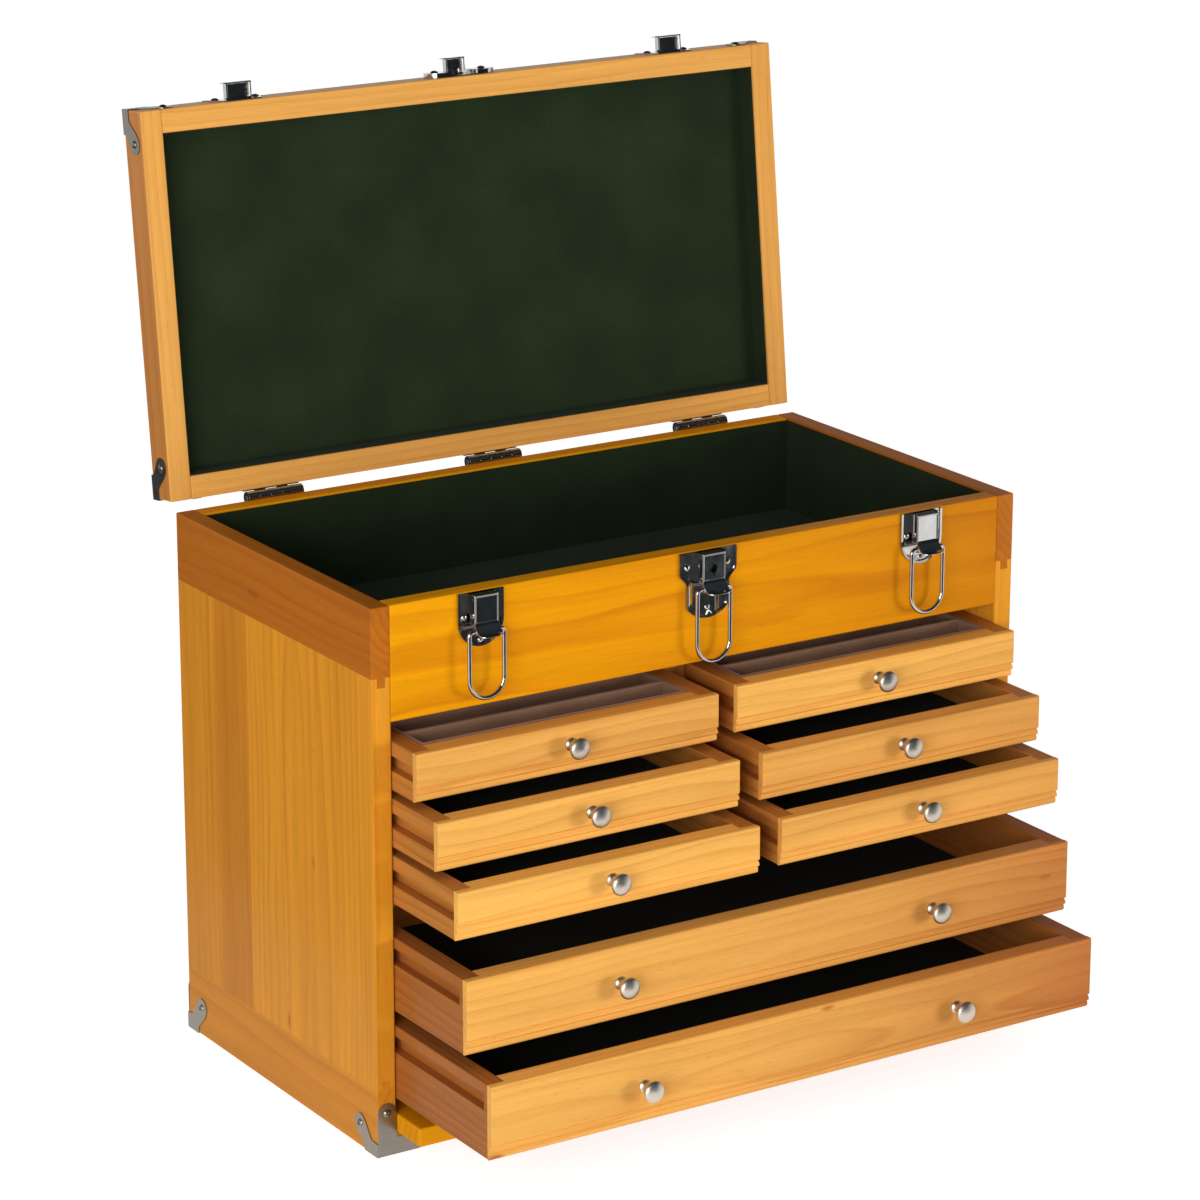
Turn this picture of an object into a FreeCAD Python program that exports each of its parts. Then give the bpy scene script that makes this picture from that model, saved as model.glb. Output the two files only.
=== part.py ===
import FreeCAD, Part
import math
import os
from FreeCAD import Vector

# Wooden machinist's toolbox with a lined till under a hinged lid, small drawers over wide ones,
# a front panel kept in a slot under the lowest drawer, draw latches and a lock latch.
# Frame: +X to the right, front faces -Y, +Z up, origin in the middle of the underside.
# The part is drawn with the lid open and the drawers partly out. Lengths are in millimetres.

# Case
case_width = 510.0
case_depth = 265.0
case_height = 375.0
side_thickness = 14.0
back_thickness = 13.0
top_cleat_height = 47.0
bottom_cleat_height = 46.0
cleat_tongue_depth = 6.5
cleat_tongue_thickness = 6.0
base_thickness = 14.5
slot_cover_thickness = 5.0
shelf_thickness = 14.0
divider_thickness = 18.0
drawer_recess = 38.0

# Till and linings
till_front_height = 77.5
till_front_thickness = 14.0
till_floor_thickness = 8.0
lining_thickness = 1.0
lining_below_rim = 1.5

# Front panel in its slot
panel_thickness = 13.0
panel_bottom_gap = 0.3
panel_top_gap = 1.0
panel_end_gap = 0.5
panel_height_gap = 1.5
panel_width_gap = 1.0

# Drawers
drawer_length = 210.0
drawer_side_gap = 0.8
small_drawer_gap = 5.7
wide_drawer_gap = 10.3
lowest_drawer_gap = 4.4
shelf_under_gap = 4.7
shelf_over_gap = 4.6
till_under_gap = 13.3
small_drawer_share = 11 / 67
wide_drawer_share = 17 / 67
drawer_front_thickness = 15.0
drawer_front_lap = 5.0
drawer_side_thickness = 13.0
drawer_back_thickness = 12.0
drawer_bottom_thickness = 4.0
drawer_bottom_rise = 4.0
felt_thickness = 1.0
felt_edge_gap = 0.2

# Moulding on the drawer fronts, depths back from the face and heights above the lower edge
face_round = 1.5
quirk_height = 8.4
quirk_depth = 2.2
quirk_opening = 1.0
bead_setback = 0.9
bead_height = 2.4
strip_setback = 1.5
toe_round = 2.0

# Grooves in the drawer sides and the runners in them
groove_depth = 6.5
small_groove_drop_share = 0.288
small_groove_height_share = 0.312
wide_groove_drop_share = 0.141
wide_groove_height_share = 0.222
wide_groove_stop = 4.0
runner_top_gap = 0.3
runner_bottom_gap = 0.7
runner_depth_gap = 0.7
runner_front_gap = 1.0
runner_back_gap = 1.0

# How far each drawer stands out of the case front
pull_left = (30.5, 56.0, 80.0)
pull_right = (24.0, 54.0, 77.0)
pull_wide = (90.0, 119.0)

# Flocked tray in the top small drawers
tray_wall = 3.0
tray_floor = 2.5
tray_fit_gap = 0.3
tray_compartment_depth = 24.0

# Knobs
knob_head_radius = 7.4
knob_neck_radius = 2.9
knob_foot_radius = 4.5
knob_collar_radius = 3.7
knob_projection = 14.8
knob_foot_height = 1.8
knob_collar_height = 1.6
knob_head_height = 6.0
small_knob_height_share = 0.585
wide_knob_height_share = 0.505
knob_screw_radius = 1.9
knob_screw_head_radius = 3.8
knob_screw_head_height = 1.6
knob_screw_reach = 6.0

# Lid
lid_rail_height = 25.5
lid_rail_width = 16.0
lid_panel_thickness = 8.0
lid_rest_gap = 0.3
lid_open_angle = 96.5

# Hinges
hinge_width = 43.0
hinge_spacing_share = 0.346
hinge_axis_offset = 5.4
hinge_barrel_radius = 4.4
hinge_pin_radius = 1.6
hinge_pin_gap = 0.05
hinge_leaf_thickness = 1.2
hinge_leaf_height = 22.0
hinge_knuckle_gap = 0.3
hinge_knuckles = 5
hinge_leaf_setback = 3.2
hinge_screw_inset = 6.5

# Sheet fittings and their fixings
sheet_thickness = 0.8
screw_head_radius = 2.9
screw_head_height = 1.5
screw_recess_length_share = 1.25
screw_recess_width_share = 0.28
screw_shank_radius = 1.4
screw_shank_length = 9.0
screw_hole_gap = 0.05
rivet_head_radius = 2.3
rivet_head_height = 1.3

# Corner guards
guard_leg_width = 14.0
guard_leg_length = 37.0
guard_foot_length = 36.0
guard_foot_height = 12.0
guard_lobe_radius = 7.0
guard_lobe_out = 22.0
guard_lobe_up = 17.0
rear_guard_lobe_out = 20.0
rear_guard_lobe_up = 20.5
lid_guard_lobe_out = 22.5
lid_guard_lobe_up = 15.0

# Draw latches
latch_spacing_share = 0.343
latch_plate_width = 34.0
latch_plate_height = 36.5
latch_plate_thickness = 1.0
latch_rim_width = 1.5
latch_rim_height = 1.1
latch_drop_below_rim = 0.5
latch_rivet_side = 12.0
latch_rivet_drop = 16.0
latch_ear_thickness = 1.2
latch_ear_gap = 0.4
latch_ear_height = 13.0
latch_ear_reach = 7.2
latch_pin_radius = 1.25
latch_pin_out = 5.6
latch_pin_drop = 3.4
lever_width = 18.0
lever_sheet = 1.2
lever_top_drop = 0.3
lever_length = 21.0
lever_front_out = 9.2
lever_back_out = 3.0
lever_curl_out = 9.0
lever_curl_drop = 24.0
lever_curl_radius = 2.5
lever_lip_width = 17.5
lever_lip_out = 18.0
lever_lip_drop = 27.0
lever_lip_rise = 5.5
bail_wire_radius = 1.5
bail_gap = 0.06
bail_half_width = 13.0
bail_corner_radius = 3.0
latch_bail_length = 45.5

# Lock latch, wider at the top than below
lock_plate_width = 45.0
lock_plate_low_width = 33.5
lock_plate_height = 46.5
lock_shoulder_drop = 13.5
lock_ogee_height = 10.0
lock_ogee_pull_share = 0.45
lock_rivet_side = 16.0
lock_rivet_drop = 10.5
lock_low_rivet_drop = 39.5
lock_ear_height = 20.0
lock_slot_width = 2.0
lock_slot_height = 14.0
lock_slot_side = 13.6
lock_slot_drop = 22.0
lock_bail_length = 50.5
keyhole_radius = 2.1
keyhole_slot_width = 1.7
keyhole_slot_length = 4.2
keyhole_drop = 11.0
lock_case_half_width = 6.0
lock_case_top_drop = 7.5
lock_case_low_drop = 21.5
lock_case_back_out = 2.6
bolt_length = 8.0
bolt_height = 3.0
bolt_thickness = 2.0
bolt_drop = 17.5
bolt_gap = 0.3

# Catches on the lid's front rail
catch_plate_width = 44.0
catch_plate_height = 19.0
catch_plate_chamfer = 8.0
catch_plate_rise = 3.5
catch_hook_width = 19.0
catch_bar_gap = 0.3
catch_lip_gap = 0.5
catch_lip_height = 4.5
catch_screw_side = 15.5
catch_screw_drop = 6.5
catch_gusset_drop = 3.5
lock_catch_plate_width = 54.0
lock_catch_wing_width = 17.0
lock_catch_wing_thickness = 3.4
lock_catch_hook_width = 15.0
lock_catch_screw_side = 19.0
lock_catch_screw_drop = 8.5

# One overrun serves every cut
overrun = 1.0

left = -case_width / 2
right = case_width / 2
front = -case_depth / 2
back = case_depth / 2
inner_left = left + side_thickness
inner_right = right - side_thickness
inner_back = back - back_thickness
drawer_closed_front = front + drawer_recess
till_bottom = case_height - till_front_height
panel_low = base_thickness + panel_bottom_gap
slot_top = panel_low + panel_thickness + panel_top_gap
slot_cover_top = slot_top + slot_cover_thickness

# The drawers share the height that the boards and the gaps between the slot and the till leave
drawer_gaps = (lowest_drawer_gap + wide_drawer_gap + shelf_under_gap + shelf_over_gap + 2 * small_drawer_gap
               + till_under_gap)
drawer_room = till_bottom - slot_cover_top - shelf_thickness - drawer_gaps
small_drawer_height = drawer_room * small_drawer_share
wide_drawer_height = drawer_room * wide_drawer_share
lowest_drawer_z = slot_cover_top + lowest_drawer_gap
wide_z = (lowest_drawer_z + wide_drawer_height + wide_drawer_gap, lowest_drawer_z)
shelf_low = wide_z[0] + wide_drawer_height + shelf_under_gap
shelf_top = shelf_low + shelf_thickness
small_low_z = shelf_top + shelf_over_gap
small_z = tuple(small_low_z + (small_drawer_height + small_drawer_gap) * step for step in (2, 1, 0))
small_groove_drop = small_drawer_height * small_groove_drop_share
small_groove_height = small_drawer_height * small_groove_height_share
wide_groove_drop = wide_drawer_height * wide_groove_drop_share
wide_groove_height = wide_drawer_height * wide_groove_height_share
small_knob_height = small_drawer_height * small_knob_height_share
wide_knob_height = wide_drawer_height * wide_knob_height_share

lid_low = case_height + lid_rest_gap
lid_top = lid_low + lid_rail_height
hinge_y = back + hinge_axis_offset
hinge_spacing = case_width * hinge_spacing_share
latch_spacing = case_width * latch_spacing_share


def box(x0, x1, y0, y1, z0, z1):
    """Block between two corners."""
    return Part.makeBox(x1 - x0, y1 - y0, z1 - z0, Vector(x0, y0, z0))


def rod(start, direction, radius, length):
    """Round bar from a point along a direction."""
    return Part.makeCylinder(radius, length, start, direction)


def prism(points, travel):
    """Solid from a flat outline carried along a travel vector."""
    outline = Part.makePolygon(points + [points[0]])
    return Part.Face(outline).extrude(travel)


def joined(shapes):
    """One solid from pieces that overlap or share a face."""
    shape = shapes[0]
    for other in shapes[1:]:
        shape = shape.fuse(other)
    return shape.removeSplitter()


def group(shapes):
    """Separate solids of one node."""
    solids = []
    for shape in shapes:
        solids.extend(shape.Solids)
    return Part.makeCompound(solids)


def drilled(shape, holes):
    """Shape with the fixing holes taken out."""
    for hole in holes:
        shape = shape.cut(hole)
    return shape


def save(node, shape):
    """Write one node."""
    shape.exportStep("parts/" + node + ".step")


def open_lid(shape):
    """Turn a piece of the closed lid to the open position, about the hinge axis."""
    turned = shape.copy()
    turned.rotate(Vector(0, hinge_y, case_height), Vector(1, 0, 0), -lid_open_angle)
    return turned


def domed_fixing(place, outward, head_radius, head_height):
    """Domed head with a shank; place is under the head on the sheet, outward is the way it faces."""
    sphere_radius = (head_radius ** 2 + head_height ** 2) / (2 * head_height)
    ball = Part.makeSphere(sphere_radius, place - outward * (sphere_radius - head_height))
    head = ball.common(rod(place, outward, head_radius + overrun, head_height + overrun))
    shank = rod(place - outward * screw_shank_length, outward, screw_shank_radius, screw_shank_length)
    return head.fuse(shank).removeSplitter()


def screw(place, outward):
    """Domed wood screw with a cross recess."""
    solid = domed_fixing(place, outward, screw_head_radius, screw_head_height)
    slot_length = screw_head_radius * screw_recess_length_share
    slot_width = slot_length * screw_recess_width_share
    across = Vector(1, 0, 0) if abs(outward.x) < abs(outward.y) + abs(outward.z) else Vector(0, 1, 0)
    other = outward.cross(across)
    for way, side in ((across, other), (other, across)):
        corner = place + outward * (screw_head_height / 2) - way * (slot_length / 2) - side * (slot_width / 2)
        points = [corner, corner + way * slot_length, corner + way * slot_length + side * slot_width,
                  corner + side * slot_width]
        solid = solid.cut(prism(points, outward * (screw_head_height + overrun)))
    return solid


def rivet(place, outward):
    """Small domed rivet."""
    return domed_fixing(place, outward, rivet_head_radius, rivet_head_height)


def fixing_hole(place, outward):
    """Hole for a screw or rivet shank, right through the sheet and into the wood."""
    depth = screw_shank_length + screw_hole_gap
    return rod(place - outward * depth, outward, screw_shank_radius + screw_hole_gap, depth + overrun)


# Corner guards. A case guard has a leg up the front, an arm with a round lobe on the side and, at the front,
# a foot along the base. A lid guard has one such arm on the front and one on the side.
# Each is drawn at the front left corner with the corner point at zero, then mirrored to its place.
guard_heel_share = 0.56
guard_arm_shares = ((0, 0), (0.73, 0), (0.76, 0.25), (1.25, 0.72), (0.70, 1.22), (0.34, 0.60),
                    (0, guard_heel_share))


def guard_arm(along, outward, lobe_out, lobe_up):
    """Leaning arm on one face, with a round lobe at its end."""
    points = [along * (lobe_out * out) + Vector(0, 0, lobe_up * up) for out, up in guard_arm_shares]
    lobe_place = along * lobe_out + Vector(0, 0, lobe_up)
    arm = prism(points, outward * sheet_thickness)
    return arm.fuse(rod(lobe_place, outward, guard_lobe_radius, sheet_thickness))


def finger_strip(length, width, upright):
    """Strip with a rounded end on the front face, up the corner or along the bottom."""
    half = width / 2
    straight = length - half
    if upright:
        strip = box(0, width, -sheet_thickness, 0, 0, straight)
        place = Vector(half, 0, straight)
    else:
        strip = box(0, straight, -sheet_thickness, 0, 0, width)
        place = Vector(straight, 0, half)
    return strip.fuse(rod(place, Vector(0, -1, 0), half, sheet_thickness)), place


def guard_parts(on_lid, with_foot):
    """Sheet of one guard, and the places and facings of its screws."""
    forward = Vector(0, -1, 0)
    sideways = Vector(-1, 0, 0)
    if on_lid:
        lobe_out, lobe_up = lid_guard_lobe_out, lid_guard_lobe_up
    elif with_foot:
        lobe_out, lobe_up = guard_lobe_out, guard_lobe_up
    else:
        lobe_out, lobe_up = rear_guard_lobe_out, rear_guard_lobe_up
    pieces = [guard_arm(Vector(0, 1, 0), sideways, lobe_out, lobe_up)]
    places = [(Vector(0, lobe_out, lobe_up), sideways)]
    if on_lid:
        pieces.append(guard_arm(Vector(1, 0, 0), forward, lobe_out, lobe_up))
        places.append((Vector(lobe_out, 0, lobe_up), forward))
    else:
        leg, leg_place = finger_strip(guard_leg_length, guard_leg_width, True)
        pieces.append(leg)
        places.append((leg_place, forward))
    if with_foot:
        foot, foot_place = finger_strip(guard_foot_length, guard_foot_height, False)
        pieces.append(foot)
        places.append((foot_place, forward))
    pieces.append(box(-sheet_thickness, 0, -sheet_thickness, 0, 0, lobe_up * guard_heel_share))
    return joined(pieces), [(place + outward * sheet_thickness, outward) for place, outward in places]


def at_corner(vector, corner, signs):
    """Point or direction of the front left corner carried to another corner."""
    return corner + Vector(vector.x * signs[0], vector.y * signs[1], vector.z * signs[2])


def guard_set(corner, signs, on_lid):
    """One guard with its screws and the holes that they need, mirrored to a corner."""
    plate, fixings = guard_parts(on_lid, signs[1] > 0 and not on_lid)
    for sign, axis in zip(signs, (Vector(1, 0, 0), Vector(0, 1, 0), Vector(0, 0, 1))):
        if sign < 0:
            plate = plate.mirror(Vector(0, 0, 0), axis)
    plate.translate(corner)
    screws = []
    holes = []
    for place, outward in fixings:
        place = at_corner(place, corner, signs)
        outward = at_corner(outward, Vector(0, 0, 0), signs)
        screws.append(screw(place, outward))
        holes.append(fixing_hole(place, outward))
    return drilled(plate, holes), screws, holes


case_guards = []
case_guard_holes = []
for signs, corner in (((1, 1, 1), Vector(left, front, 0)), ((-1, 1, 1), Vector(right, front, 0)),
                      ((1, -1, 1), Vector(left, back, 0)), ((-1, -1, 1), Vector(right, back, 0))):
    plate, screws, holes = guard_set(corner, signs, False)
    case_guards.extend([plate] + screws)
    case_guard_holes.extend(holes)

lid_guards = []
lid_guard_holes = []
for signs, corner in (((1, 1, -1), Vector(left, front, lid_top)),
                      ((-1, 1, -1), Vector(right, front, lid_top)),
                      ((1, -1, -1), Vector(left, back, lid_top)),
                      ((-1, -1, -1), Vector(right, back, lid_top))):
    plate, screws, holes = guard_set(corner, signs, True)
    lid_guards.extend([plate] + screws)
    lid_guard_holes.extend(holes)

save("case_corner_guards", group(case_guards))
save("lid_corner_guards", group([open_lid(piece) for piece in lid_guards]))

# Hinges: a leaf on the back of the case, a leaf on the back rail of the lid, knuckles in turn and a pin.
hinge_places = (-hinge_spacing, 0, hinge_spacing)
knuckle_width = hinge_width / hinge_knuckles


def hinge_leaf(centre, upward, first):
    """Leaf above or below the axis, with every second knuckle from the first one."""
    leaf_near = case_height + upward * hinge_leaf_setback
    leaf_far = case_height + upward * (hinge_leaf_setback + hinge_leaf_height)
    start = centre - hinge_width / 2
    pieces = [box(start, start + hinge_width, back, back + hinge_leaf_thickness,
                  min(leaf_near, leaf_far), max(leaf_near, leaf_far))]
    for number in range(first, hinge_knuckles, 2):
        x0 = start + knuckle_width * number + hinge_knuckle_gap / 2
        x1 = x0 + knuckle_width - hinge_knuckle_gap
        outer = case_height + upward * hinge_barrel_radius
        inner = case_height + upward * (hinge_barrel_radius - hinge_leaf_thickness)
        pieces.append(rod(Vector(x0, hinge_y, case_height), Vector(1, 0, 0), hinge_barrel_radius, x1 - x0))
        pieces.append(box(x0, x1, back, hinge_y, min(outer, inner), max(outer, inner)))
    bore = rod(Vector(start - overrun, hinge_y, case_height), Vector(1, 0, 0),
               hinge_pin_radius + hinge_pin_gap, hinge_width + 2 * overrun)
    return joined(pieces).cut(bore)


def hinge_fixings(centre, upward):
    """Screw places of one leaf: two near the ends and one in the middle."""
    y = back + hinge_leaf_thickness
    middle = case_height + upward * (hinge_leaf_setback + hinge_leaf_height / 2)
    reach = hinge_width / 2 - hinge_screw_inset
    return [Vector(centre + reach * side, y, middle) for side in (-1, 0, 1)]


case_leaves = []
lid_leaves = []
hinge_pins = []
case_leaf_holes = []
lid_leaf_holes = []
rearward = Vector(0, 1, 0)
for centre in hinge_places:
    low_holes = [fixing_hole(place, rearward) for place in hinge_fixings(centre, -1)]
    high_holes = [fixing_hole(place, rearward) for place in hinge_fixings(centre, 1)]
    case_leaves.append(drilled(hinge_leaf(centre, -1, 0), low_holes))
    lid_leaves.append(drilled(hinge_leaf(centre, 1, 1), high_holes))
    case_leaves.extend(screw(place, rearward) for place in hinge_fixings(centre, -1))
    lid_leaves.extend(screw(place, rearward) for place in hinge_fixings(centre, 1))
    case_leaf_holes.extend(low_holes)
    lid_leaf_holes.extend(high_holes)
    hinge_pins.append(rod(Vector(centre - hinge_width / 2, hinge_y, case_height), Vector(1, 0, 0),
                          hinge_pin_radius, hinge_width))

save("hinge_case_leaves", group(case_leaves))
save("hinge_lid_leaves", group([open_lid(piece) for piece in lid_leaves]))
save("hinge_pins", group(hinge_pins))

# Latches on the till's front board. Each is drawn about its own centre line; out is away from the board.
latch_top = case_height - latch_drop_below_rim
outward_front = Vector(0, -1, 0)
pin_y = front - latch_pin_out
pin_z = latch_top - latch_pin_drop
curl_y = front - lever_curl_out
curl_z = latch_top - lever_curl_drop


def rounded_plate(centre, width, height, inset, thickness):
    """Plate with a straight top and a half-round lower end."""
    half = width / 2 - inset
    bend_z = latch_top - height + width / 2
    body = box(centre - half, centre + half, front - thickness, front, bend_z, latch_top)
    end = rod(Vector(centre, front, bend_z), outward_front, half, thickness)
    return body.fuse(end).removeSplitter()


def lock_plate_blank(centre, inset, thickness):
    """Plate that is wide above, runs in through an ogee and ends in a half-round."""
    wide = lock_plate_width / 2 - inset
    slim = lock_plate_low_width / 2 - inset
    shoulder = latch_top - lock_shoulder_drop
    waist = shoulder - lock_ogee_height
    round_z = latch_top - lock_plate_height + lock_plate_low_width / 4
    sag = lock_plate_low_width / 4 - inset
    pull = lock_ogee_height * lock_ogee_pull_share
    right_ogee = Part.BezierCurve()
    right_ogee.setPoles([Vector(centre + wide, front, shoulder), Vector(centre + wide, front, shoulder - pull),
                         Vector(centre + slim, front, waist + pull), Vector(centre + slim, front, waist)])
    left_ogee = Part.BezierCurve()
    left_ogee.setPoles([Vector(centre - slim, front, waist), Vector(centre - slim, front, waist + pull),
                        Vector(centre - wide, front, shoulder - pull), Vector(centre - wide, front, shoulder)])
    edges = [Part.makeLine(Vector(centre - wide, front, latch_top), Vector(centre + wide, front, latch_top)),
             Part.makeLine(Vector(centre + wide, front, latch_top), Vector(centre + wide, front, shoulder)),
             right_ogee.toShape(),
             Part.makeLine(Vector(centre + slim, front, waist), Vector(centre + slim, front, round_z)),
             Part.Arc(Vector(centre + slim, front, round_z), Vector(centre, front, round_z - sag),
                      Vector(centre - slim, front, round_z)).toShape(),
             Part.makeLine(Vector(centre - slim, front, round_z), Vector(centre - slim, front, waist)),
             left_ogee.toShape(),
             Part.makeLine(Vector(centre - wide, front, shoulder), Vector(centre - wide, front, latch_top))]
    return Part.Face(Part.Wire(edges)).extrude(outward_front * thickness)


def latch_ears(centre, ear_height):
    """Two ears beside the lever, with the lever's pin between them."""
    inner = lever_width / 2 + latch_ear_gap
    outer = inner + latch_ear_thickness
    ear_y0 = front - latch_ear_reach
    ear_y1 = front - latch_plate_thickness
    pieces = []
    for side in (-1, 1):
        x0 = min(centre + side * inner, centre + side * outer)
        pieces.append(box(x0, x0 + latch_ear_thickness, ear_y0, ear_y1, latch_top - ear_height, latch_top))
    pin = rod(Vector(centre - outer, pin_y, pin_z), Vector(1, 0, 0), latch_pin_radius, 2 * outer)
    return pieces, pin


bolt_front_y = front - lever_front_out + lever_sheet + bolt_gap
bolt_z = latch_top - bolt_drop


def bolt_window(x0, x1):
    """Space that the lock's bolt needs between two places."""
    return box(x0, x1, bolt_front_y - bolt_gap, bolt_front_y + bolt_thickness + bolt_gap,
               bolt_z - bolt_gap, bolt_z + bolt_height + bolt_gap)


def latch_plate_set(centre, is_lock):
    """Plate with a raised rim, its ears and pin, its rivets, and the holes for them."""
    full = latch_plate_thickness + latch_rim_height
    if is_lock:
        blank = lock_plate_blank(centre, 0, full)
        pocket = lock_plate_blank(centre, latch_rim_width, full)
        places = [(lock_rivet_side, lock_rivet_drop), (-lock_rivet_side, lock_rivet_drop),
                  (0, lock_low_rivet_drop)]
        ear_height = lock_ear_height
    else:
        blank = rounded_plate(centre, latch_plate_width, latch_plate_height, 0, full)
        pocket = rounded_plate(centre, latch_plate_width, latch_plate_height, latch_rim_width, full)
        places = [(latch_rivet_side, latch_rivet_drop), (-latch_rivet_side, latch_rivet_drop),
                  (0, latch_plate_height - latch_rim_width - rivet_head_radius)]
        ear_height = latch_ear_height
    pocket.translate(outward_front * latch_plate_thickness)
    ears, pin = latch_ears(centre, ear_height)
    plate = joined([blank.cut(pocket)] + ears + [pin])
    rivet_y = front - latch_plate_thickness
    rivet_places = [Vector(centre + side, rivet_y, latch_top - drop) for side, drop in places]
    holes = [fixing_hole(place, outward_front) for place in rivet_places]
    plate = drilled(plate, holes)
    if is_lock:
        slot_x = centre - lock_slot_side
        slot_z = latch_top - lock_slot_drop
        plate = plate.cut(box(slot_x, slot_x + lock_slot_width, front - full - overrun, front,
                              slot_z - lock_slot_height, slot_z))
        plate = plate.cut(bolt_window(centre - lever_width, centre - lever_width / 2))
    return plate, [rivet(place, outward_front) for place in rivet_places], holes


def lever(centre, is_lock):
    """Channel-shaped lever with a curl for the bail and a finger lip, hung on the plate's pin."""
    half = lever_width / 2
    top = latch_top - lever_top_drop
    low = top - lever_length
    face = front - lever_front_out
    web = box(centre - half, centre + half, face, face + lever_sheet, low, top)
    cheeks = []
    for side in (-1, 1):
        x0 = min(centre + side * half, centre + side * (half - lever_sheet))
        cheeks.append(box(x0, x0 + lever_sheet, face, front - lever_back_out, low, top))
    curl = rod(Vector(centre - half, curl_y, curl_z), Vector(1, 0, 0), lever_curl_radius, lever_width)
    neck = box(centre - half, centre + half, face, face + lever_sheet, curl_z, low)
    lip_half = lever_lip_width / 2
    lip_low = latch_top - lever_lip_drop
    lip_top = lip_low + lever_lip_rise
    lip_out = front - lever_lip_out
    lip_x = centre - lip_half
    lip = prism([Vector(lip_x, face + lever_sheet, lip_top), Vector(lip_x, lip_out, lip_low + lever_sheet),
                 Vector(lip_x, lip_out, lip_low), Vector(lip_x, face + lever_sheet, lip_top - lever_sheet)],
                Vector(lever_lip_width, 0, 0))
    shape = joined([web] + cheeks + [neck, curl, lip])
    start = centre - half - overrun
    reach = lever_width + 2 * overrun
    for y, z, radius in ((curl_y, curl_z, bail_wire_radius), (pin_y, pin_z, latch_pin_radius)):
        shape = shape.cut(rod(Vector(start, y, z), Vector(1, 0, 0), radius + bail_gap, reach))
    if is_lock:
        key_z = latch_top - keyhole_drop
        key = rod(Vector(centre, face - overrun, key_z), Vector(0, 1, 0), keyhole_radius, reach)
        slot = box(centre - keyhole_slot_width / 2, centre + keyhole_slot_width / 2, face - overrun,
                   face + lever_sheet + overrun, key_z - keyhole_slot_length, key_z)
        shape = shape.cut(key.fuse(slot)).cut(bolt_window(start, centre))
        case = box(centre - lock_case_half_width, centre + lock_case_half_width, face + lever_sheet,
                   front - lock_case_back_out, latch_top - lock_case_low_drop, latch_top - lock_case_top_drop)
        channel = bolt_window(centre - half, centre + half)
        keyway = rod(Vector(centre, face, key_z), Vector(0, 1, 0), keyhole_radius, lever_front_out)
        return group([shape, case.cut(channel).cut(keyway).cut(slot)])
    return shape


def bail(centre, length):
    """Closed wire loop: a bar through the lever's curl, two legs and a half-round end."""
    half = bail_half_width
    corner = bail_corner_radius
    bend = half
    low = curl_z - length + bend
    tuck = corner * (1 - math.sqrt(0.5))
    top_left = Vector(centre - half + corner, curl_y, curl_z)
    top_right = Vector(centre + half - corner, curl_y, curl_z)
    right_top = Vector(centre + half, curl_y, curl_z - corner)
    right_low = Vector(centre + half, curl_y, low)
    left_low = Vector(centre - half, curl_y, low)
    left_top = Vector(centre - half, curl_y, curl_z - corner)
    edges = [Part.makeLine(Vector(centre, curl_y, curl_z), top_right),
             Part.Arc(top_right, Vector(centre + half - tuck, curl_y, curl_z - tuck), right_top).toShape(),
             Part.makeLine(right_top, right_low),
             Part.Arc(right_low, Vector(centre, curl_y, low - bend), left_low).toShape(),
             Part.makeLine(left_low, left_top),
             Part.Arc(left_top, Vector(centre - half + tuck, curl_y, curl_z - tuck), top_left).toShape(),
             Part.makeLine(top_left, Vector(centre, curl_y, curl_z))]
    ring = Part.Wire(edges)
    section = Part.Wire([Part.makeCircle(bail_wire_radius, Vector(centre, curl_y, curl_z), Vector(1, 0, 0))])
    return ring.makePipeShell([section], True, False)


plates = []
latch_holes = []
for centre, is_lock in ((-latch_spacing, False), (0, True), (latch_spacing, False)):
    plate, rivets, holes = latch_plate_set(centre, is_lock)
    plates.extend([plate] + rivets)
    latch_holes.extend(holes)

save("latch_plates", group(plates))
save("latch_lever_left", lever(-latch_spacing, False))
save("lock_lever", lever(0, True))
save("latch_lever_right", lever(latch_spacing, False))
save("latch_bail_left", bail(-latch_spacing, latch_bail_length))
save("lock_bail", bail(0, lock_bail_length))
save("latch_bail_right", bail(latch_spacing, latch_bail_length))

# The lock's bolt slides behind the lever's face and shoots into the left ear.
bolt_right = -lever_width / 2 + lever_sheet + bolt_gap + bolt_length
save("lock_bolt", box(bolt_right - bolt_length, bolt_right, bolt_front_y, bolt_front_y + bolt_thickness,
                      bolt_z, bolt_z + bolt_height))


def catch_plate(centre, width, low, top, thickness):
    """Plate that narrows towards the lid's mouth."""
    half = width / 2
    slim = half - catch_plate_chamfer
    points = [Vector(centre - half, front, top), Vector(centre - slim, front, low),
              Vector(centre + slim, front, low), Vector(centre + half, front, top)]
    return prism(points, outward_front * thickness)


def catch_wings(centre, low, top):
    """Two raised lobed wings beside the lock's hook."""
    half = lock_catch_plate_width / 2
    radius = (top - low) / 2
    wings = []
    for side in (-1, 1):
        lobe_x = centre + side * (half - radius)
        inner_x = centre + side * (half - lock_catch_wing_width)
        wings.append(box(min(lobe_x, inner_x), max(lobe_x, inner_x), front - lock_catch_wing_thickness, front,
                         low, top))
        lobe_place = Vector(lobe_x, front, low + radius)
        wings.append(rod(lobe_place, outward_front, radius, lock_catch_wing_thickness))
    return wings


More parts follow.
